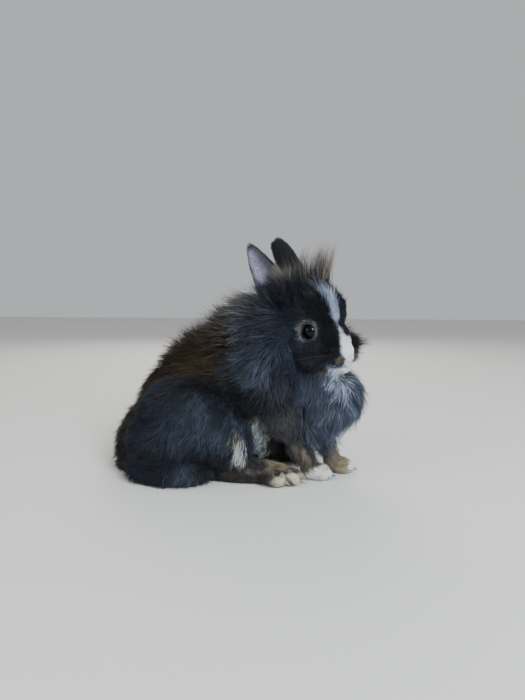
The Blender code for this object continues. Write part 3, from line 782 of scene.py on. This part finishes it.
def build_style(points, normals):
    """Everything about the tufts that would grow at these points."""
    weights = region_weights(points)
    style = {
        "weights": weights,
        "pull": np.zeros(len(points)),
        "lie": lie_of_coat(points, weights),
        "aim": np.zeros((len(points), 3)),
        "aimed": np.zeros(len(points)),
    }
    for number, trait in enumerate(TRAITS):
        style[trait] = blended({region: traits[number] for region, traits in REGIONS.items()}, weights)
    shape_body_coat(points, style)
    own = local(points, HEAD_FRAME)
    shape_head_coat(own, style)
    shape_forelock(own, style)
    shape_far_cheek(own, style)
    shape_ear_coat(points, style)
    scale(style, ramp(-normals[:, 2], 0.3, 0.9) * (points[:, 2] < UNDERSIDE_BELOW), density=-0.75)
    return style


def add(style, zone, **amounts):
    """Adds amounts to the tufts' traits, as much as each point belongs to the zone."""
    for trait, amount in amounts.items():
        style[trait] = style[trait] + amount * zone


def scale(style, zone, **shares):
    """Changes the tufts' traits by shares of themselves, as much as each point belongs to the zone."""
    for trait, share in shares.items():
        style[trait] = style[trait] * (1 + share * zone)


def aim_hair(style, directions, frame_matrix, share):
    """Turns the hair, as much as its share says, from its lie to a way given in a frame."""
    ways = turned(unit(np.asarray(directions, float)), frame_matrix)
    style["aim"] = mixed(style["aim"], ways, share)
    style["aimed"] = np.maximum(style["aimed"], share)


# Each zone below comes in or fades out between two places of its frame, in millimetres

def shape_body_coat(points, style):
    """Hair that stands up on the nape and the back behind it, and hangs from the chest and the flanks."""
    x, y, z = points.T
    neck, torso = style["weights"]["neck"], style["weights"]["torso"]
    nape = neck * ramp(z, 104, 126) * fade(x, 10, 26) * fade(np.abs(y), 18, 30)
    back = (torso + neck * (1 - nape)) * ramp(z, 88, 106) * fade(x, 4, 16) * fade(np.abs(y), 16, 30)
    add(style, nape, length=5, lift=24)
    add(style, back, length=9, lift=26, pull=-0.3)
    scale(style, back, density=0.7, stray=-0.5)
    scale(style, np.maximum(nape, back), droop=-0.8)
    apron = style["weights"]["chest"] * fade(z, 34, 52) * fade(x, 78, 88)
    add(style, apron, length=9)
    aim_hair(style, rows(0.25, 0.01 * y, -1), BODY_FRAME, 0.7 * apron)
    from_flank = np.linalg.norm((points - FLANK_AT) * (1, 0, 0.8), axis=1)
    flank = fade(from_flank, 8, 20) * (np.abs(y) > FLANK_OUT)
    aim_hair(style, rows(0.15, 0.25 * np.sign(y), -1), BODY_FRAME, 0.6 * flank)


def long_hair(style, own, share, tips, reach):
    """Lets the hair run from its own place on the head towards its tips, as far as its reach says."""
    way = tips - own
    style["length"] += (np.linalg.norm(way, axis=1) * reach - style["length"]) * share
    scale(style, share, density=0.6)
    aim_hair(style, way, HEAD_FRAME, 0.95 * share)


def shape_head_coat(own, style):
    """Short hair on the muzzle and round the eyes, longer on the cheeks, and hardly any on the nostrils."""
    x, y, z = own.T
    on_head = style["weights"]["head"]
    from_nose = np.linalg.norm(own - NOSE, axis=1)
    length = 1.2 + 2.6 * ramp(from_nose, 6, 26) + 6.5 * ramp(from_nose, 24, 42)
    length += 7.0 * ramp(from_nose, 40, 58)
    length += 8.0 * ramp(from_nose, 22, 38) * ramp(-z, 6, 24)
    style["length"] = style["length"] * (1 - on_head) + length * on_head
    add(style, on_head * ramp(z, 8, 22), lift=16)
    far_brow = on_head * ramp(y, -2, 6) * ramp(x, -2, 6) * ramp(z, 8, 15)
    scale(style, far_brow, length=-0.5)
    add(style, far_brow, lift=-14)
    scale(style, on_head * fade(from_nose, 14, 36), density=1)
    from_eye = np.minimum(np.hypot(x, z), 40) + 60 * (np.abs(y) < EYE_OUT)
    scale(style, on_head * fade(from_eye, 8, 17), length=-0.72)
    scale(style, on_head * fade(from_eye, 8, 14), lift=-0.5)
    scale(style, on_head * fade(from_eye, 6.6, 7.3), density=-1)
    ribbon = [(*at, 1.0) for at in NOSTRIL_RIBBON]
    nostrils = fade(distance_to_line(rows(x, np.abs(y), z), ribbon), 1.0, 1.8)
    scale(style, on_head * nostrils, density=-0.9)


def shape_forelock(own, style):
    """Long hair on the crown: a lock in front that stands up and forward, and one behind it."""
    x, y, z = own.T
    on_top = style["weights"]["head"] * ramp(z, 23, 31) * fade(np.abs(y), 10, 15)
    front = on_top * ramp(x, -13, -8) * fade(x, 2, 8)
    long_hair(style, own, front, rows(8.5 + 0.5 * x, 0.4 * y, 66 - 0.2 * x), 0.92)
    behind = on_top * fade(x, -16, -11) * ramp(x, -34, -28)
    long_hair(style, own, behind, rows(0.5 * x - 11, 0.5 * y, 60), 0.8)


def shape_far_cheek(own, style):
    """The tuft that stands out from the left cheek, behind the muzzle."""
    x, y, z = own.T
    on_head = style["weights"]["head"]
    far = on_head * ramp(y, 8, 12) * fade(np.abs(x - 6), 9, 14) * fade(np.abs(z + 12), 9, 14)
    far *= ramp(np.hypot(x, z), 9, 12)
    drop = z + 6
    tip_height = -7 + np.where(drop < 0, 1.1, 0.4) * drop
    tips = rows(23 + 0.2 * x, 30 + 0.6 * y, tip_height)
    long_hair(style, own, far, tips, 0.95 - 0.012 * np.maximum(-drop, 0))
    scale(style, far, density=2.4)


def shape_ear_coat(points, style):
    """Long hair round the ears' roots, and a fringe on their front edges."""
    weight, place, sides = ear_place(points)
    own = local(points, HEAD_FRAME)
    for name, side in SIDES.items():
        upward = np.tile(ear_axis(name, 2), (len(points), 1))
        root = np.array((EAR_ROOT[0], side * EAR_ROOT[1], EAR_ROOT[2]))
        near = fade(np.linalg.norm(own - root, axis=1), 12, 22) * (1 - weight)
        add(style, near, length=7)
        aim_hair(style, upward + unit(points - HEAD_AT) * 0.5, BODY_FRAME, 0.55 * near)
        of_ear = weight * (sides == side)
        fringe = of_ear * ear_fringe(place, name, side)
        add(style, fringe, length=7)
        scale(style, fringe, density=1)
        add(style, of_ear * ramp(place[:, 2] / EAR_LENGTH[name], 0.86, 0.98), length=0.9)
        over = upward - ear_axis(name, 1) * -side * 0.45
        aim_hair(style, over, BODY_FRAME, 0.7 * fringe)


# Tufts

# Each coat: its tufts, its regions, the rings of a tuft, its pieces and its slot
COATS = {
    "coat_body": (30000, ("torso", "haunch", "tail"), 3, 3, "coat_back"),
    "coat_mane": (20000, ("neck", "chest"), 4, 3, "coat_mane"),
    "coat_head": (27000, ("head",), 3, 3, "coat_head"),
    "coat_ears": (8000, ("ear",), 2, 1, "coat_ear"),
    "coat_feet": (12000, ("hind_foot", "forepaw", "foreleg"), 2, 1, "coat_foot"),
}
# How far under the skin a tuft starts, and how far over the skin its bends stay
ROOT_DEPTH = 0.6
LEAST_GAP = 0.4
# How much tufts differ from one another
LENGTH_SPREAD = 0.24
LIFT_SPREAD = 0.3
WIDTH_SPREAD = 0.15
BRIGHT_SPREAD = 0.2
AIM_SCATTER = 0.16
PLACE_SCATTER = 0.9
# The longest tuft as a share of its place's length, and the steepest lift in degrees
LONGEST = 1.3
STEEPEST = 80
# A clump's size as a share of the hair's length, its limits, and the limits of its pull
CLUMP_SHARE = 0.3
CLUMP_SIZE = (1.4, 6.0)
CLUMP_PULL = (0.2, 0.6)
LEAST_PULL = 0.05
CLUMP_CURVE = 1.3
# Soft fields over the coat: the length of their waves, their strength and their seed
LENGTH_FIELD = (18, 0.2, 3)
SWAY_FIELD = (26, 0.3, 5)
PATCH_FIELD = (24, 0.2, 7)
SPOT_FIELD = (9, 0.14, 8)
# A tuft's width and its brightness along it, as places and shares; the brightness is painted shade, darker
# towards the root deep in the coat
TAPER = ((0, 0.3, 1), (0.75, 1.0, 0.3))
PAINTED_COAT_SHADE = ((0, 0.35, 1), (0.4, 0.85, 1.35))
TUFT_RISE = 0.55
# Hairs shorter than this are evenly bright, and ones longer than this get the full painted shade
SHORT_HAIR = (1.4, 4.5)
SHORT_SHADE = 1.05
# The size of a tuft's patch on the skin's unwrap
PATCH_SIZE = 0.003
DOWN = np.array((0, 0, -1.0))


def scattered_roots(skin, count, rng, density):
    """Roots over the skin, as dense as its points say: places, normals and unwrap places."""
    mesh = skin.data
    points, normals = points_of(mesh), normals_of(mesh)
    mesh.calc_loop_triangles()
    corners = read(mesh.loop_triangles, "vertices", 3, np.int32)
    loops = read(mesh.loop_triangles, "loops", 3, np.int32)
    a, b, c = (points[corners[:, i]] for i in range(3))
    area = np.linalg.norm(np.cross(b - a, c - a), axis=1) / 2
    weight = area * density[corners].mean(axis=1)
    picks = rng.choice(len(corners), size=count, p=weight / weight.sum())
    u, v = rng.random(count), rng.random(count)
    flip = u + v > 1
    u, v = np.where(flip, 1 - u, u), np.where(flip, 1 - v, v)
    shares = rows(1 - u - v, u, v)[:, :, None]
    roots = (points[corners[picks]] * shares).sum(axis=1)
    facing = unit((normals[corners[picks]] * shares).sum(axis=1))
    places = read(mesh.uv_layers[BAKE_MAP].data, "uv", 2)
    uvs = (places[loops[picks]] * shares).sum(axis=1)
    return roots, facing, uvs


def nearest_normals(surface, points):
    """The nearest skin's place and way out, for every point."""
    places = np.empty_like(points)
    ways = np.empty_like(points)
    for i, point in enumerate(points):
        place, normal, _, _ = surface.find_nearest(Vector(point))
        places[i] = place
        ways[i] = normal
    return places, ways


def hair_paths(roots, normals, style, length, lift, steps, surface, rng):
    """Where each hair runs: it leaves the skin, follows its lie or its aim, and sinks under its weight."""
    sway = noise(roots, *SWAY_FIELD) + rng.normal(0, 1, len(roots)) * style["stray"]
    scatter = rng.normal(0, AIM_SCATTER, (len(roots), 3))
    cos, sin = np.cos(lift)[:, None], np.sin(lift)[:, None]
    point, out = roots, normals
    path = [roots - normals * ROOT_DEPTH]
    for i in range(steps):
        way = unit(style["lie"]) + DOWN * (style["droop"] * i / steps)[:, None]
        flow = unit(way - out * np.sum(way * out, axis=1, keepdims=True))
        flow = unit(flow + np.cross(flow, out) * (sway * (0.6 + 0.5 * i))[:, None])
        heading = unit(flow * cos + out * sin)
        heading = unit(mixed(heading, style["aim"] + scatter, style["aimed"]))
        point = point + heading * (length / steps)[:, None]
        if i < steps - 1:
            place, out = nearest_normals(surface, point)
            height = np.sum((point - place) * out, axis=1)
            point = point + out * np.maximum(LEAST_GAP - height, 0)[:, None]
        path.append(point)
    return np.stack(path, 1)


def clumped(paths, roots, spacing, pull, rng):
    """Draws hairs together towards their clump's middle hair, more towards the tips."""
    centres = []
    cells = set()
    for index in rng.permutation(len(roots)):
        cell = tuple((roots[index] // spacing[index]).astype(int))
        if cell not in cells:
            cells.add(cell)
            centres.append(index)
    tree = KDTree(len(centres))
    for number, index in enumerate(centres):
        tree.insert(Vector(roots[index]), number)
    tree.balance()
    nearest = np.array([centres[tree.find(Vector(root))[1]] for root in roots])
    share = np.linspace(0, 1, paths.shape[1]) ** CLUMP_CURVE
    return paths + (paths[nearest] - paths) * (pull[:, None] * share)[:, :, None], nearest


def tuft_verts(paths, normals, widths):
    """Three corners round each path's points, and one at its tip."""
    count, steps = len(paths), paths.shape[1] - 1
    rings = paths[:, :-1]
    ahead = unit(np.diff(paths, axis=1))
    side = unit(np.cross(ahead, normals[:, None, :]))
    up = np.cross(side, ahead)
    taper = np.interp(np.linspace(0, 1, steps + 1)[:-1], *TAPER)
    width = (widths[:, None] * taper)[:, :, None]
    half = side * width / 2
    rise = up * width * TUFT_RISE
    corners = np.stack((rings - half, rings + half, rings + rise), 2).reshape(count, steps * 3, 3)
    return np.concatenate((corners, paths[:, -1:]), 1)


def tuft_faces(steps):
    """The triangles of one closed tuft, by its corners' numbers."""
    faces = [(0, 1, 2)]
    for ring in range(steps - 1):
        low, high = ring * 3, ring * 3 + 3
        for k in range(3):
            j = (k + 1) % 3
            faces += [(low + k, high + k, low + j), (low + j, high + k, high + j)]
    last, tip = (steps - 1) * 3, steps * 3
    faces += [(last + k, tip, last + (k + 1) % 3) for k in range(3)]
    return np.array(faces)


def triangle_mesh(name, verts, index):
    """A smooth mesh of triangles, from its points and its corners' numbers."""
    mesh = bpy.data.meshes.new(name)
    mesh.vertices.add(len(verts))
    mesh.vertices.foreach_set("co", verts.astype(np.float32).ravel())
    mesh.loops.add(index.size)
    mesh.loops.foreach_set("vertex_index", index.astype(np.int32).ravel())
    mesh.polygons.add(len(index))
    mesh.polygons.foreach_set("loop_start", np.arange(0, index.size, 3, dtype=np.int32))
    shade_smooth(mesh)
    return mesh


def hair_mesh(name, paths, normals, widths, tints, uvs):
    """Closed, three-sided, tapered tufts along the paths, as one piece with its unwrap and tints."""
    count, steps = len(paths), paths.shape[1] - 1
    per = steps * 3 + 1
    index = (tuft_faces(steps)[None] + (np.arange(count) * per)[:, None, None]).reshape(-1, 3)
    mesh = triangle_mesh(name, to_row(tuft_verts(paths, normals, widths).reshape(-1, 3)), index)
    along = (np.arange(per) // 3) / steps
    patch = rows(along - 0.5, (np.arange(per) % 3) / 2 - 0.5) * PATCH_SIZE
    places = (uvs[:, None] + patch[None]).reshape(-1, 2)[index.ravel()]
    layer = mesh.uv_layers.new(name=BAKE_MAP)
    layer.data.foreach_set("uv", np.clip(places, 0, 1).astype(np.float32).ravel())
    lengths = np.linalg.norm(np.diff(paths, axis=1), axis=2).sum(axis=1)
    set_tints(mesh, hair_tints(tints, along, lengths))
    mesh.update(calc_edges=True)
    return linked(name, mesh)


def hair_tints(tints, along, lengths):
    """Hairs are paler near the tip and darker at the root, as painted shade deep in the coat, the more so
    the longer they are.
    """
    # Painted shade: each tuft darker towards its root, paler towards its tip
    painted_shade = np.interp(along, *PAINTED_COAT_SHADE)
    painted_shades = mixed(painted_shade[None, :], SHORT_SHADE, fade(lengths, *SHORT_HAIR))
    return (tints[:, None] * painted_shades[:, :, None]).reshape(-1, 3)


def tuft_paths(roots, normals, style, steps, surface, rng):
    """The tufts' paths, each of its own length and lift, drawn together into clumps."""
    length = varied(style["length"], LENGTH_SPREAD, rng) * (0.9 + noise(roots, *LENGTH_FIELD))
    length = np.minimum(length, LONGEST * style["length"])
    lift = np.radians(varied(style["lift"], LIFT_SPREAD, rng))
    lift = np.minimum(lift, math.radians(STEEPEST))
    paths = hair_paths(roots, normals, style, length, lift, steps, surface, rng)
    spacing = np.clip(length * CLUMP_SHARE, *CLUMP_SIZE)
    pull = np.clip(0.12 + length / 50, *CLUMP_PULL) + style["pull"]
    paths, nearest = clumped(paths, roots, spacing, np.maximum(pull, LEAST_PULL), rng)
    paths[:, :, 2] = np.maximum(paths[:, :, 2], LEAST_HEIGHT)
    return paths, nearest


def brightness(roots, nearest, rng):
    """How bright each tuft is: by itself, with its clump, and in soft patches."""
    mottled = noise(roots, *PATCH_FIELD) + noise(roots, *SPOT_FIELD)
    own = rng.normal(0, BRIGHT_SPREAD, len(roots))
    of_clump = rng.normal(0, BRIGHT_SPREAD, len(roots))[nearest]
    return np.exp(own + of_clump + mottled)


def grow(name, skin, surface, rng):
    """Covers a coat's regions with tufts, in as many pieces as their size asks for."""
    count, regions, steps, pieces, slot = COATS[name]
    whole = build_style(points_of(skin.data), normals_of(skin.data))
    chosen = sum(whole["weights"][region] for region in regions)
    roots, normals, uvs = scattered_roots(skin, count, rng, whole["density"] * chosen)
    style = build_style(roots, normals)
    jitter = rng.normal(0, PLACE_SCATTER, (count, 3)) * (0.5 + style["length"] / 16)[:, None]
    colours = coat_colours(roots + jitter, normals, style["weights"])
    paths, nearest = tuft_paths(roots, normals, style, steps, surface, rng)
    tints = colours * brightness(roots, nearest, rng)[:, None]
    widths = varied(style["width"], WIDTH_SPREAD, rng)
    for piece in range(pieces):
        own = slice(piece, None, pieces)
        shown = (values[own] for values in (paths, normals, widths, tints, uvs))
        yield hair_mesh(f"{name}_{piece + 1}", *shown), slot


# Materials

def new_material(name):
    material = bpy.data.materials.new(name)
    material.use_nodes = True
    return material


def shader_of(material):
    return material.node_tree.nodes["Principled BSDF"]


def set_inputs(node, values):
    for name, value in values.items():
        node.inputs[name].default_value = value


def add_node(material, kind, **values):
    """A new shader node of this kind in the material, with these inputs."""
    node = material.node_tree.nodes.new("ShaderNode" + kind)
    set_inputs(node, values)
    return node


def link(material, output, node, name):
    material.node_tree.links.new(output, node.inputs[name])


def spread(material, value, low, high):
    """The value, which runs from 0 to 1, made to run from low to high."""
    node = add_node(material, "MapRange")
    set_inputs(node, {"To Min": low, "To Max": high})
    link(material, value, node, "Value")
    return node.outputs["Result"]


def tinted_material(name, scale, detail, uneven):
    """A material in the tint of its points, made uneven by a fine grain, and that grain."""
    material = new_material(name)
    tint = add_node(material, "VertexColor")
    tint.layer_name = "tint"
    grain = add_node(material, "TexNoise", Scale=scale, Detail=detail).outputs["Fac"]
    mix = add_node(material, "VectorMath")
    mix.operation = "SCALE"
    link(material, tint.outputs["Color"], mix, 0)
    link(material, spread(material, grain, 1 - uneven, 1 + uneven), mix, "Scale")
    link(material, mix.outputs["Vector"], shader_of(material), "Base Color")
    return material, grain


def fur_material(name, roughness, sheen):
    """Hair: its tint with a fine uneven grain, and a soft sheen."""
    material, grain = tinted_material(name, 900, 3, 0.3)
    shader = shader_of(material)
    link(material, spread(material, grain, roughness - 0.08, roughness + 0.1), shader, "Roughness")
    set_inputs(shader, {"Sheen Weight": sheen, "Sheen Roughness": 0.4, "Specular IOR Level": 0.2})
    return material


def skin_material():
    """The skin under the coat: the coat's colours with a felt-like relief."""
    material = fur_material("skin_fur", 0.75, 0.1)
    relief = add_node(material, "TexNoise", Scale=1400, Detail=4)
    bump = add_node(material, "Bump", Strength=0.4, Distance=0.0006)
    link(material, relief.outputs["Fac"], bump, "Height")
    link(material, bump.outputs["Normal"], shader_of(material), "Normal")
    return material


def claw_material():
    """Dull horn."""
    material = fur_material("claw_horn", 0.42, 0.0)
    set_inputs(shader_of(material), {"Specular IOR Level": 0.5})
    return material


def eye_material():
    """A wet, dark eye."""
    material, _ = tinted_material("eye_wet", 1500, 2, 0.4)
    set_inputs(shader_of(material), {"Roughness": 0.03, "IOR": 1.34, "Specular IOR Level": 0.4})
    return material


# Eyes, whiskers and claws

WHISKERS = 30
WHISKER_STEPS = 6
WHISKER_LENGTH = (18, 40)
WHISKER_WIDTH = 0.13
WHISKER_SAG = np.array((-0.12, 0, -0.22))
# The middle of the left whisker pad in the head's frame, and half its size
WHISKER_PAD = (22, 11, -19)
WHISKER_PAD_HALF = (5, 3.5, 5)
WHISKER_BRIGHTNESS = {"right": 0.12, "left": 0.4}

# Length of the claws, and their height at the toe
HIND_CLAW = (4.6, 4.2)
FORE_CLAW = (3.4, 3.8)
CLAW_RADIUS = 0.85
CLAW_TAPER = 0.75
CLAW_FLATNESS = 0.8
CLAW_DROP = 0.32
CLAW_TIP_DROP = 0.34
CLAW_SIDES = 8
CLAW_RINGS = 5
HORN = colour(126, 122, 114)

# How high the cornea bulges, and out to which radius
CORNEA = (0.45, 5.6)
PUPIL_RADIUS = 3.9
PUPIL_EDGE = 0.8
IRIS = colour(18, 13, 11)
PUPIL = colour(4, 4, 6)


def make_whiskers(skin, rng):
    """Long, thin bristles that fan out from both whisker pads, the right side's darker."""
    own = local(points_of(skin.data), HEAD_FRAME)
    own[:, 1] = np.abs(own[:, 1])
    pads = np.all(np.abs(own - WHISKER_PAD) < WHISKER_PAD_HALF, axis=1)
    roots, normals, uvs = scattered_roots(skin, WHISKERS, rng, pads.astype(float))
    place = local(roots, HEAD_FRAME)
    side = np.sign(place[:, 1])
    fan = (place[:, 0] - 20) / 5 + rng.normal(0, 0.3, WHISKERS)
    way = rows(0.1 + 0.55 * fan, side, -0.2 + rng.normal(0, 0.22, WHISKERS))
    way = turned(unit(way), HEAD_FRAME)
    length = rng.uniform(*WHISKER_LENGTH, WHISKERS)
    path = [roots - normals * 0.8]
    for step in range(1, WHISKER_STEPS + 1):
        share = step / WHISKER_STEPS
        sag = WHISKER_SAG * (share ** 2)
        path.append(roots + (way * share + sag) * length[:, None])
    bright = np.where(side < 0, WHISKER_BRIGHTNESS["right"], WHISKER_BRIGHTNESS["left"])
    tints = np.outer(bright * rng.uniform(0.6, 1.4, WHISKERS), (1, 1, 1))
    return hair_mesh("whiskers", np.stack(path, 1), normals, np.full(WHISKERS, WHISKER_WIDTH), tints, uvs)


def claw_places():
    """Where each claw leaves its toe, and its length, in the body's frame."""
    for name, side in SIDES.items():
        for tip, offset in HIND_TOES:
            yield Vector((tip - 0.5, side * HIND_FOOT_Y - side * offset, HIND_CLAW[1])), HIND_CLAW[0]
        x, y = FOREPAW_AT[name]
        for offset, reach in FORE_TOES:
            yield Vector((x + reach + 0.6, y + offset, FORE_CLAW[1])), FORE_CLAW[0]


def add_claw(bm, root, length):
    """A horn cone that curves down from its toe."""
    turns = [2 * math.pi * k / CLAW_SIDES for k in range(CLAW_SIDES)]
    loops = []
    for ring in range(CLAW_RINGS):
        share = ring / CLAW_RINGS
        middle = root + Vector((share * length, 0, -CLAW_DROP * length * share ** 2))
        radius = CLAW_RADIUS * (1 - CLAW_TAPER * share)
        around = [Vector((0, radius * CLAW_FLATNESS * math.cos(t), radius * math.sin(t))) for t in turns]
        loops.append([bm.verts.new(middle + corner) for corner in around])
    end = bm.verts.new(root + Vector((length, 0, -CLAW_TIP_DROP * length)))
    bm.faces.new(loops[0])
    for here, there in zip(loops, loops[1:]):
        for k in range(CLAW_SIDES):
            bm.faces.new((here[k - 1], here[k], there[k], there[k - 1]))
    for k in range(CLAW_SIDES):
        bm.faces.new((loops[-1][k - 1], loops[-1][k], end))


def make_claws():
    """A claw on every toe, as one piece."""
    bm = bmesh.new()
    for root, length in claw_places():
        add_claw(bm, root, length)
    bmesh.ops.recalc_face_normals(bm, faces=bm.faces)
    claws = finished_mesh("claws", bm)
    unwrap(claws)
    set_tints(claws.data, np.tile(HORN, (len(claws.data.vertices), 1)))
    finish_mesh(claws.data)
    return claws


def make_eye(name, side):
    """An eyeball with a bulging cornea, a dark iris and a black pupil."""
    bm = bmesh.new()
    facing = Matrix.Rotation(math.radians(-90 * side), 4, "X")
    place = HEAD_FRAME @ Matrix.Translation((0, side * EYE_HALF_WIDTH, 0)) @ facing
    bmesh.ops.create_uvsphere(bm, u_segments=72, v_segments=48, radius=EYE_RADIUS)
    bulge, reach = CORNEA
    tints = []
    for vert in bm.verts:
        radius = math.hypot(vert.co.x, vert.co.y)
        pupil = 1 - min(max((radius - PUPIL_RADIUS) / PUPIL_EDGE, 0), 1)
        tints.append(mixed(IRIS, PUPIL, pupil))
        if vert.co.z > 0:
            vert.co.z += bulge * max(0.0, 1 - (radius / reach) ** 2)
        vert.co = place @ vert.co
    eye = finished_mesh("eyeball_" + name, bm)
    set_tints(eye.data, np.array(tints))
    finish_mesh(eye.data)
    return eye


# Camera, light and floor

# Each light: its name, its place in metres, its size, its power and its tint
LIGHTS = [
    ("key", (0.85, -0.85, 0.85), 0.45, 25, (0.9, 0.96, 1.0)),
    ("fill", (-1.0, -0.9, 0.7), 0.9, 6, (1.0, 0.97, 0.93)),
    ("back", (-0.3, 1.1, 0.9), 0.8, 9, (1.0, 0.97, 0.92)),
]
LIGHT_AIM = Vector((0, 0, 0.09))
SKY = (0.86, 0.88, 0.9, 1)
SKY_STRENGTH = 0.6
FLOOR_TINT = (0.72, 0.71, 0.69, 1)
FLOOR_ROUGHNESS = 0.8
FLOOR_REACH = 4.0


def face_along(obj, way):
    """Turns a camera or a light to look this way."""
    obj.rotation_euler = way.to_track_quat("-Z", "Y").to_euler()


def place_camera():
    data = bpy.data.cameras.new("camera")
    data.lens = CAMERA_LENS
    data.sensor_width = CAMERA_SENSOR
    data.sensor_fit = "AUTO"
    data.clip_start = 0.01
    camera = linked("camera", data)
    turn, down = math.radians(CAMERA_TURN), math.radians(CAMERA_DOWN)
    camera.location = to_row(np.array(CAMERA_AT))
    way = (-math.sin(turn) * math.cos(down), math.cos(turn) * math.cos(down), -math.sin(down))
    face_along(camera, Vector(way))
    bpy.context.scene.camera = camera


def place_light(name, at, size, power, tint):
    data = bpy.data.lights.new(name, "AREA")
    data.energy = power
    data.size = size
    data.color = tint
    light = linked(name, data)
    light.location = at
    face_along(light, LIGHT_AIM - Vector(at))


def set_stage():
    """The lights, the sky and the floor."""
    for light in LIGHTS:
        place_light(*light)
    world = bpy.data.worlds.new("studio")
    world.use_nodes = True
    set_inputs(world.node_tree.nodes["Background"], {"Color": SKY, "Strength": SKY_STRENGTH})
    bpy.context.scene.world = world
    bm = bmesh.new()
    bmesh.ops.create_grid(bm, x_segments=2, y_segments=2, size=FLOOR_REACH)
    floor = finished_mesh("floor", bm)
    material = new_material("pale_floor")
    set_inputs(shader_of(material), {"Base Color": FLOOR_TINT, "Roughness": FLOOR_ROUGHNESS})
    floor.data.materials.append(material)


# All together

def dress(obj, material, slot):
    """Gives a finished piece its material and its body."""
    obj.data.materials.clear()
    obj.data.materials.append(material)
    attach(obj, "root")


def finish_skin(skin):
    """Colours the skin as its coat is, darkened as painted shade under the coat, and sets it in the row in
    the flesh's place.
    """
    points, normals = points_of(skin.data), normals_of(skin.data)
    set_tints(skin.data, coat_colours(points, normals, region_weights(points)) * SKIN_PAINTED_SHADE)
    finish_mesh(skin.data)
    dress(skin, skin_material(), "coat_head")
    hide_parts(*FLESH)


def main():
    place_camera()
    set_stage()
    skin = make_skin()
    surface = BVHTree.FromObject(skin, bpy.context.evaluated_depsgraph_get())
    rng = np.random.default_rng(SEED)
    fur = fur_material("coat_fur", 0.5, 0.05)
    for name in COATS:
        for tufts, slot in grow(name, skin, surface, rng):
            dress(tufts, fur, slot)
    dress(make_whiskers(skin, rng), fur, "coat_head")
    dress(make_claws(), claw_material(), "coat_foot")
    finish_skin(skin)
    wet = eye_material()
    for name, side in SIDES.items():
        eye = make_eye(name, side)
        dress(eye, wet, "eye")
        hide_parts("eye_" + name)


main()
